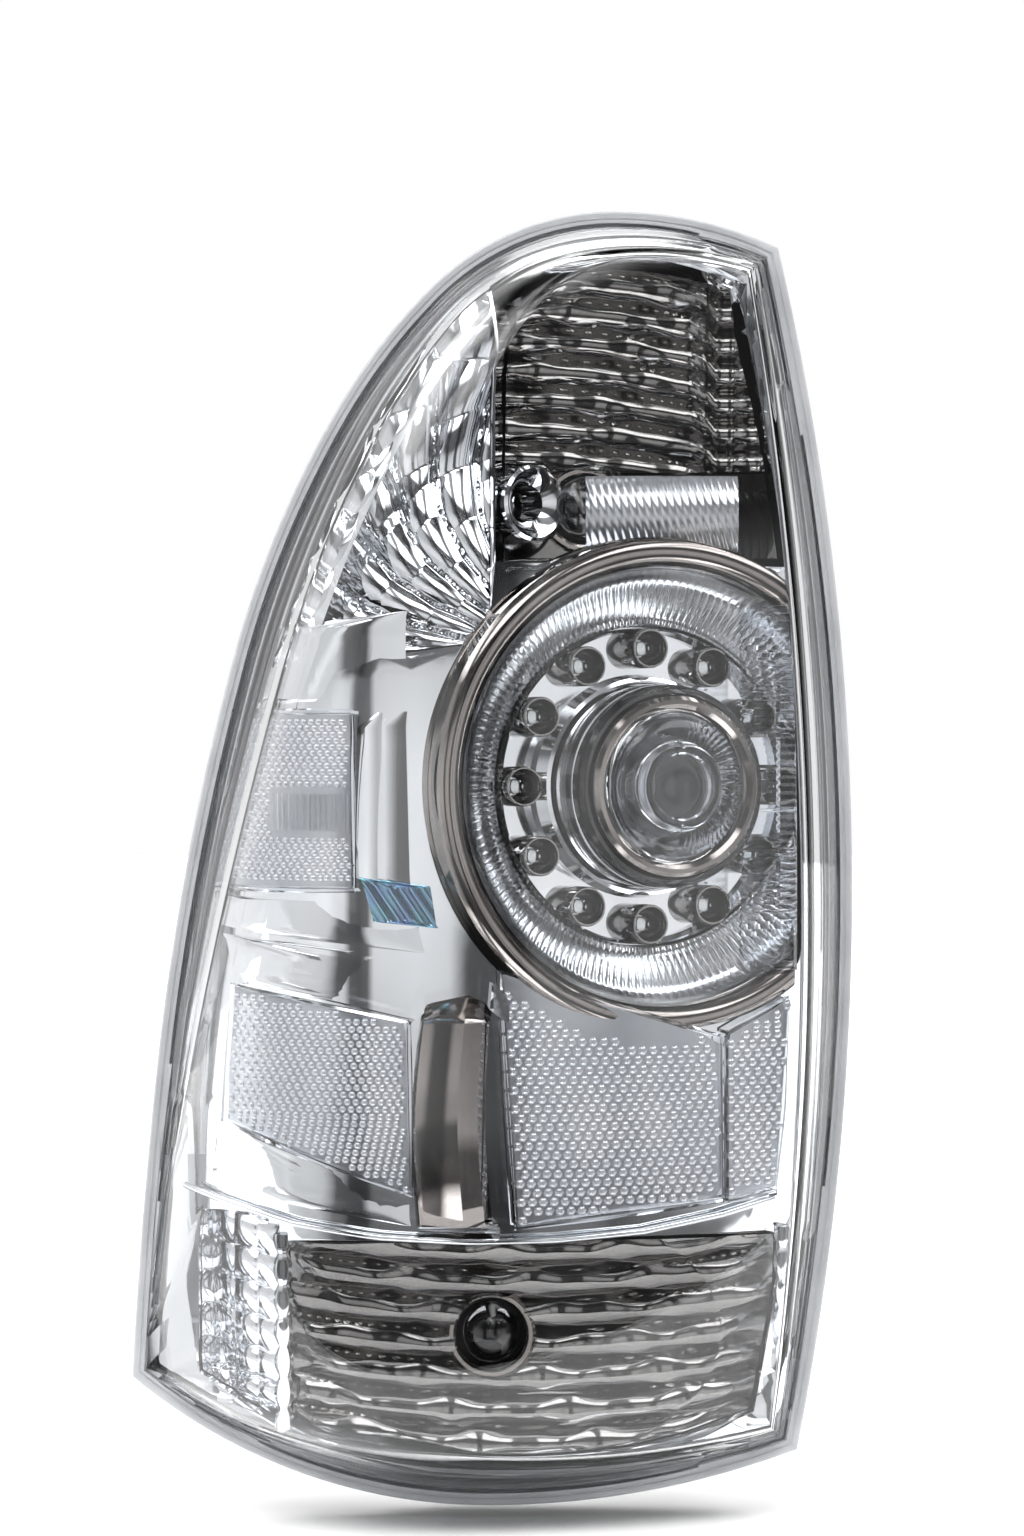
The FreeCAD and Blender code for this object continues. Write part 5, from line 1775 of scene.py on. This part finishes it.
@dataclass
class RoundUnit(SubAssembly):
    """The round LED unit: chrome ring, fluted dish, cup plate, cups, LEDs and its cut-off side."""

    flutes: int = 150
    leds: int = 12
    pitch_radius: float = 45.0

    def turned(self, profile: Sequence[Point2], steps: int, trim: bool = True,
               ripple: Callable[[float, float, float], float] | None = None) -> bmesh.types.BMesh:
        """A turned mesh in the unit's place.

        Args:
            profile: Its section.
            steps: Divisions round.
            trim: Whether it stops at the lamp's right wall.
            ripple: Optional ripple.

        Returns:
            The mesh.
        """
        bm = bmesh.new()
        lathe(bm, profile, steps, ripple)
        bmesh.ops.transform(bm, matrix=RING.matrix(), verts=bm.verts)
        if trim:
            trim_right(bm, RING.trim)
        return bm

    def build(self) -> None:
        """Builds the unit."""
        arc = [(76.5 + 4.5 * math.cos(a), -15.5 - 4.5 * math.sin(a)) for a in
               [math.radians(18.0 * k) for k in range(0, 11)]]
        ring = [(81.0, -2.8), (81.0, -9.0), (80.4, -9.6), (80.4, -11.4)]
        ring += [(r - 0.5, y) for r, y in arc[1:]] + [(72.6, -14.0), (72.6, -12.4), (71.8, -12.0),
                                                      (71.8, -2.8)]
        self.make(self.turned(ring, 200), "chrome_hoop", Slot.SMOKED, "chrome_ring", sharp=25.0,
                  dress=self.paint.black_chrome)
        self.build_dish()
        self.build_cups()
        self.build_side()

    def build_dish(self) -> None:
        """Builds the dish with its fine radial flutes and the plain band outside them."""

        def ripple(radius: float, along: float, angle: float) -> float:
            """The clear dish's flutes, which fade at both edges."""
            fade = min(1.0, max(0.0, (radius - 51.8) / 2.0)) * min(1.0, max(0.0, (68.2 - radius) / 1.5))
            return -0.5 * fade * abs(math.sin(angle * self.flutes / 2.0))

        front = [(52.5, -4.6)] + [(53.0 + k * 1.5, -4.8 - 0.62 * k - 0.028 * k * k) for k in range(11)]
        front += [(69.0, -15.0), (71.2, -16.4)]
        back = [(71.4, -14.6), (69.0, -13.2)] + [(68.0 - k * 3.0, -11.9 + 1.6 * k) for k in range(6)]
        bm = self.turned(front + back[:-1] + [(52.5, -3.2)], self.flutes * 4, ripple=ripple)
        self.make(bm, "dish_flutes", Slot.PRISM, "fluted_dish", sharp=50.0)

        def pleat(radius: float, along: float, angle: float) -> float:
            """The pleats of the bright backing."""
            fade = min(1.0, max(0.0, (radius - 52.2) / 1.5)) * min(1.0, max(0.0, (67.6 - radius) / 1.5))
            return 0.9 * fade * (1.0 - abs(math.sin(angle * self.flutes / 2.0)))

        floor = [(33.0, 5.6), (52.0, 5.6)] + [(53.0 + k * 1.5, -1.4 - 0.66 * k) for k in range(11)]
        floor += [(70.8, -12.4), (71.4, -11.6)] + [(66.4 - k * 3.2, -5.2 + 1.6 * k) for k in range(5)]
        floor += [(52.6, 6.6), (33.0, 6.6)]
        self.make(self.turned(floor, self.flutes * 4, ripple=pleat), "dish_backing", Slot.REFLECTOR,
                  sharp=50.0,
                  dress=self.paint.dish)

    def build_cups(self) -> None:
        """Builds the twelve cups and the LEDs in them."""
        spots = []
        for k in range(self.leds):
            angle = math.tau * k / self.leds
            spots.append(RING.point(self.pitch_radius * math.cos(angle), 0.0,
                                    self.pitch_radius * math.sin(angle)))
        turn = Matrix.Rotation(math.radians(RING.turn), 4, "Z")
        bm = bmesh.new()
        lathe(bm, [(6.5, 5.4), (6.5, -5.6), (6.2, -6.2), (5.7, -6.2), (5.4, -5.6), (4.6, -1.0), (3.2, 3.6),
                   (2.8, 5.4)], 40)
        bmesh.ops.transform(bm, matrix=turn, verts=bm.verts)
        cup = finish_mesh(bm, "cup", self.paint[Slot.SMOKED], 30.0)
        piece = self.repeats.set_out("led_cups", cup, spots, self.paint[Slot.SMOKED])
        self.hand_over(piece, Slot.REFLECTOR)
        bm = bmesh.new()
        lathe(bm, [(0.0, 5.6), (2.7, 5.6), (2.7, 4.8), (2.4, 4.8), (2.4, 0.6), (2.1, -0.7), (1.4, -1.6),
                   (0.6, -2.0),
                   (0.0, -2.1)], 24)
        bmesh.ops.transform(bm, matrix=turn, verts=bm.verts)
        led = finish_mesh(bm, "led", self.paint[Slot.LED], 40.0)
        piece = self.repeats.set_out("led_domes", led, spots, self.paint[Slot.LED])
        self.hand_over(piece, Slot.LED, "led_emitters")
        plate = [(33.4, 5.2), (33.4, -2.4), (34.4, -3.0), (35.6, -2.4), (36.6, 4.4), (50.4, 4.4),
                 (51.0, -2.0), (51.6, -2.4),
                 (51.8, 5.2)]
        self.make(self.turned(plate, 120), "cup_plate", Slot.REFLECTOR, "led_cup_plate", sharp=30.0)

    def build_side(self) -> None:
        """Builds the ribbed clear wall where the unit is cut off at the right."""
        bm = bmesh.new()
        low, high = -40.0, 80.0
        count = 240
        rows, back = [], []
        for j in range(count + 1):
            z = low + (high - low) * j / count
            bow = 1.0 - ((z - 20.0) / 62.0) ** 2
            rib = 0.5 * scallop((z - low) / 2.6)
            rows.append([(51.0 - rib * 2.0, -53.0 - 9.0 * max(0.0, bow), z),
                         (55.0, -57.0 - 9.0 * max(0.0, bow), z),
                         (61.5, -60.0 - 6.0 * max(0.0, bow) - rib, z), (67.6, -61.0, z)])
            back.append([(x + 1.2, y + 2.2, z) for x, y, z in rows[-1]])
        grid_solid(bm, rows, back)
        self.make(bm, "dish_side_wall", Slot.PRISM, sharp=40.0)


@dataclass
class CentreLamp(RoundUnit):
    """The projecting middle lamp: clear sleeve, dark ring, stepped lens and bright cone."""

    def build(self) -> None:
        """Builds the middle lamp."""
        sleeve = [(29.9, -4.4), (33.0, -4.4), (33.0, -19.0), (32.6, -21.4), (31.4, -22.8), (30.2, -22.8),
                  (29.9, -21.8)]
        self.make(self.turned(sleeve, 120, False), "centre_sleeve_clear", Slot.CLEAR, "centre_sleeve",
                  sharp=30.0)
        ring = [(24.6, -17.8), (29.7, -17.8), (29.7, -23.4), (29.2, -25.2), (28.0, -26.4), (26.6, -26.6),
                (25.2, -25.6), (24.6, -23.6)]
        self.make(self.turned(ring, 120, False), "centre_dark_ring", Slot.SMOKED, "centre_ring", sharp=25.0,
                  dress=self.paint.black_chrome)

        def wavy(radius: float, along: float, angle: float) -> float:
            """The waves on the right of the lens's outer step.

            Args:
                radius: The radius.
                along: The place along the axis.
                angle: The angle round it.

            Returns:
                The change of `along`.
            """
            right = max(0.0, math.cos(angle)) ** 0.5
            band = 1.0 if 15.0 < radius < 22.0 and along < -21.0 else 0.0
            return -0.7 * right * band * abs(math.sin(angle * 34.0 + radius * 0.6))

        lens = [(0.0, -19.8), (12.0, -20.4), (12.4, -18.0), (24.2, -18.0), (24.4, -23.4), (23.6, -25.4),
                (22.6, -26.0),
                (21.6, -25.6), (20.2, -26.6), (18.6, -27.2), (17.0, -27.6), (15.4, -27.8), (14.6, -28.2),
                (13.8, -29.4), (12.6, -30.0), (11.0, -30.0), (10.4, -29.2), (8.4, -28.9), (5.0, -29.7),
                (2.4, -30.1),
                (0.0, -30.2)]
        self.make(self.turned(lens, 240, False, wavy), "centre_stepped_lens", Slot.CLEAR, "centre_lens",
                  sharp=30.0)
        cone = [(28.6, -17.6)] + [(9.4 + 19.0 * (k / 10) ** 0.62, 19.0 - 36.6 * (k / 10)) for k in range(10,
                                                                                                         -1,
                                                                                                         -1)]
        cone += [(8.8, 20.4), (10.0, 21.6)]
        cone += [(10.6 + 19.0 * (k / 10) ** 0.62, 20.0 - 36.6 * (k / 10)) for k in range(0, 11)]
        self.make(self.turned(cone, 96, False), "centre_cone", Slot.REFLECTOR, "centre_reflector", sharp=30.0)


@dataclass(frozen=True)
class BulbSize:
    """One bulb: its body's prefix, radius, length, foot and place."""

    prefix: str
    radius: float
    length: float
    foot: float
    seat: Point3
    turn: float = 0.0


BULBS = (
    BulbSize("upper", 10.0, 36.0, -16.4, (0.0, -1.0, 112.0)),
    BulbSize("centre", 7.6, 34.0, -16.4, (-4.683, -6.428, 20.0), 24.0),
    BulbSize("lower", 10.0, 36.0, -16.4, (-31.0, -1.0, -160.0)),
    BulbSize("side", 5.0, 20.0, -12.2, (-88.0, -18.0, 12.0)),
)


@dataclass
class Bulbs(SubAssembly):
    """The four wedge bulbs: a pinched glass envelope, lead wires and a coiled filament."""

    def build(self) -> None:
        """Builds every bulb on its own body."""
        for bulb in BULBS:
            self.build_glass(bulb)
            self.build_filament(bulb)

    def place(self, bm: bmesh.types.BMesh, bulb: BulbSize) -> None:
        """Moves a mesh from the bulb's own frame to its seat."""
        turn = Matrix.Translation(bulb.seat) @ Matrix.Rotation(math.radians(bulb.turn), 4, "Z")
        bmesh.ops.transform(bm, matrix=turn, verts=bm.verts)

    def build_glass(self, bulb: BulbSize) -> None:
        """Builds the envelope: a thin wall, a round crown and a flattened pinch.

        Args:
            bulb: Which bulb.
        """
        r, tip = bulb.radius, bulb.foot - bulb.length
        outer = [(r * 0.86, bulb.foot), (r * 0.9, bulb.foot - 3.0), (r, bulb.foot - 7.0)]
        inner = [(r * 0.88, bulb.foot - 7.4), (r * 0.66, bulb.foot - 5.0), (0.0, bulb.foot - 4.4)]
        for k in range(0, 10):
            a = math.radians(10.0 * k)
            outer.append((r * math.cos(a), tip + r - r * math.sin(a)))
        crown = [(max(0.0, (r - 0.8) * math.cos(math.radians(10.0 * k))), tip + r - (r - 0.8) *
                  math.sin(math.radians(10.0 * k))) for k in range(8, -1, -1)]
        bm = bmesh.new()
        lathe(bm, [(0.0, bulb.foot)] + outer[:-1] + [(0.0, tip), (0.0, tip + 0.8)] + crown + inner, 48)
        self.place(bm, bulb)
        self.make(bm, bulb.prefix + "_envelope", Slot.BULB_GLASS, bulb.prefix + "_bulb_glass", sharp=40.0,
                  body=bulb.prefix + "_bulb")

    def build_filament(self, bulb: BulbSize) -> None:
        """Builds the lead wires and the coil between them.

        Args:
            bulb: Which bulb.
        """
        light = bulb.foot - bulb.length * 0.55
        half = bulb.radius * 0.38
        bm = bmesh.new()
        for side in (-1.0, 1.0):
            tube(bm, [(side * half * 0.6, bulb.foot - 3.6, 0.0), (side * half, bulb.foot - 8.0, 0.0),
                      (side * half, light, 0.0)], 0.35, 8)
        turns, steps = 9, 108
        coil = [(-half + 2 * half * k / steps, light + 0.8 * math.cos(math.tau * turns * k / steps),
                 0.8 * math.sin(math.tau * turns * k / steps)) for k in range(steps + 1)]
        tube(bm, coil, 0.2, 6)
        self.place(bm, bulb)
        self.make(bm, bulb.prefix + "_coil", Slot.FILAMENT, bulb.prefix + "_bulb_filament", sharp=60.0,
                  body=bulb.prefix + "_bulb")


@dataclass
class Studs(SubAssembly):
    """The four threaded mounting studs."""

    pitch: float = 1.0
    radius: float = 3.0
    root: float = 2.62
    thread: Point2 = (2.0, 20.4)
    span_x: float = 55.0
    span_z: float = 140.0

    def build(self) -> None:
        """Builds a stud once and sets it out at the four bosses."""
        bm = bmesh.new()
        r, (y, end) = self.radius, self.thread
        profile: list[Point2] = [(0.0, -9.0), (5.2, -9.0), (5.2, -6.0), (r, -6.0), (r, y)]
        while y < end:
            profile += [(r, y), (self.root, y + self.pitch * 0.45), (self.root, y + self.pitch * 0.55)]
            y += self.pitch
        profile += [(r, y), (2.4, 21.6), (2.0, 22.0), (0.0, 22.0)]
        lathe(bm, profile, 32)
        stud = finish_mesh(bm, "stud", self.paint[Slot.STEEL], 30.0)
        spots = [(sx * self.span_x, 0.0, sz * self.span_z) for sx in (-1.0, 1.0) for sz in (-1.0, 1.0)]
        piece = self.repeats.set_out("threaded_studs", stud, spots, self.paint[Slot.STEEL])
        self.hand_over(piece, Slot.STEEL, "mounting_studs")


class FrameDress:
    """Gives every CAD node that stays its own finish."""

    def __init__(self, paint: Paint, frame: dict) -> None:
        """Keeps the materials and the frame."""
        self.paint = paint
        self.frame = frame

    def build(self) -> None:
        """Assigns the materials by slot."""
        by_name = {slot.value: slot for slot in Slot}
        for part in self.frame["record"]["subparts"]:
            node = self.frame["nodes"].get(part["node"])
            slot = by_name.get(part["material_slot"])
            if node is None or slot is None:
                continue
            for holder in node.material_slots:
                holder.material = self.paint[slot]


# ------------------------------------------------------------------ the studio


STRIPS_ACROSS: Stops = (
    (0.0, 0.9), (0.14, 1.0), (0.22, 0.85), (0.25, 0.12), (0.33, 0.06), (0.36, 0.8), (0.44, 0.85),
    (0.52, 0.9), (0.58, 0.8), (0.61, 0.08), (0.69, 0.06), (0.72, 0.9), (0.78, 1.0), (0.81, 0.45),
    (0.84, 0.9), (0.92, 1.0), (0.96, 0.3), (1.0, 0.1),
)
LEVELS_UP: Stops = (
    (0.0, 0.02), (0.03, 0.02), (0.06, 1.0), (0.15, 1.0), (0.18, 0.03), (0.31, 0.03), (0.34, 0.16),
    (0.38, 0.15), (0.46, 0.21), (0.54, 0.2), (0.61, 0.15), (0.65, 0.02), (0.78, 0.02), (0.82, 1.0),
    (0.92, 1.0), (0.95, 0.03), (1.0, 0.02),
)
LEFT_FILL: Stops = (
    (0.0, 0.14), (0.12, 0.12), (0.2, 0.0),
)
BACK_FILL: Stops = ((0.6, 0.0), (0.74, 0.17))


@dataclass
class Studio:
    """The floor, the light and the camera."""

    paint: Paint
    distance: float = 1600.0
    frame_height: float = 510.0
    aim: Point3 = (-24.0, -37.0, 26.0)
    gap: float = 4.0
    floor_half: float = 12000.0
    floor_front: float = -170.0
    world_gain: float = 4.8
    world_base: float = 0.02
    sun_angle: float = 60.0
    sun_energy: float = 2.2
    sun_tilt: Point2 = (28.0, -14.0)
    sensor: float = 24.0
    clip_end: float = 20.0

    def build(self) -> None:
        """Builds the studio."""
        self.build_floor()
        self.build_world()
        self.build_lights()
        self.build_camera()

    def build_floor(self) -> None:
        """Builds a wide pale floor."""
        low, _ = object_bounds()
        floor_z = low[2] / MM - self.gap
        bm = bmesh.new()
        half, front = self.floor_half, self.floor_front
        corners = ((-half, front), (half, front), (half, half), (-half, half))
        bm.faces.new([bm.verts.new((x, y, floor_z)) for x, y in corners])
        floor = finish_mesh(bm, "floor", self.paint.stage, 80.0, False)
        floor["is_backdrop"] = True

    def build_world(self) -> None:
        """Builds the surrounding light: pale, with darker flags and brighter strips."""
        world = bpy.data.worlds.new("studio")
        world.use_nodes = True
        bpy.context.scene.world = world
        n = Nodes(world.node_tree)
        back = next(x for x in n.tree.nodes if x.type == "BACKGROUND")
        back.inputs["Color"].default_value = (1.0, 1.0, 1.0, 1.0)
        split = n.add("ShaderNodeSeparateXYZ")
        n.join(n.add("ShaderNodeTexCoord").outputs["Generated"], split.inputs[0])
        across = n.math("MULTIPLY_ADD", split.outputs["X"], 0.5)
        across.node.inputs[2].default_value = 0.5
        up = n.math("MULTIPLY_ADD", split.outputs["Z"], 0.5)
        up.node.inputs[2].default_value = 0.5
        strips = n.ramp(across, STRIPS_ACROSS)
        levels = n.ramp(up, LEVELS_UP)
        left = n.ramp(across, LEFT_FILL)
        behind = n.math("MULTIPLY_ADD", split.outputs["Y"], 0.5)
        behind.node.inputs[2].default_value = 0.5
        glow = n.ramp(behind, BACK_FILL)
        both = n.math("MAXIMUM", n.math("MULTIPLY", strips, levels), n.math("MAXIMUM", left, glow))
        lit = n.math("ADD", n.math("MULTIPLY", both, self.world_gain), self.world_base)
        seen = n.add("ShaderNodeLightPath").outputs["Is Camera Ray"]
        hidden = n.math("MULTIPLY", lit, n.math("SUBTRACT", 1.0, seen))
        n.join(n.math("MAXIMUM", seen, hidden), back.inputs["Strength"])

    def build_lights(self) -> None:
        """Builds one wide soft light from above."""
        data = bpy.data.lights.new("overhead", "SUN")
        data.angle = math.radians(self.sun_angle)
        data.energy = self.sun_energy
        lamp = bpy.data.objects.new("overhead", data)
        lamp.rotation_euler = (*(math.radians(angle) for angle in self.sun_tilt), 0.0)
        lamp.visible_glossy = False
        lamp.visible_transmission = False
        bpy.context.scene.collection.objects.link(lamp)

    def build_camera(self) -> None:
        """Builds the camera, level with the round unit."""
        data = bpy.data.cameras.new("camera")
        data.sensor_fit = "VERTICAL"
        data.sensor_height = self.sensor
        data.lens = self.sensor * self.distance / self.frame_height
        data.clip_end = self.clip_end
        camera = bpy.data.objects.new("camera", data)
        x, y, z = self.aim
        camera.location = (x * MM, (y - self.distance) * MM, z * MM)
        camera.rotation_euler = (math.radians(90.0), 0.0, 0.0)
        bpy.context.scene.collection.objects.link(camera)
        bpy.context.scene.camera = camera
        bpy.context.scene.view_settings.view_transform = "Standard"


def main() -> None:
    """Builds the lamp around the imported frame."""
    logging.basicConfig(level=logging.INFO, format="%(message)s")
    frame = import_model()
    paint = Paint()
    repeats = RepeatTree()
    FrameDress(paint, frame).build()
    Studio(paint).build()
    for part in (OuterLens, Mask, UpperChamber, FinChamber, LowerChamber, PrismPanels, Strap, RoundUnit,
                 CentreLamp,
                 Bulbs, Studs):
        part(paint, repeats).build()
        LOG.info("%s done", part.__name__)


if __name__ == "__main__":
    main()
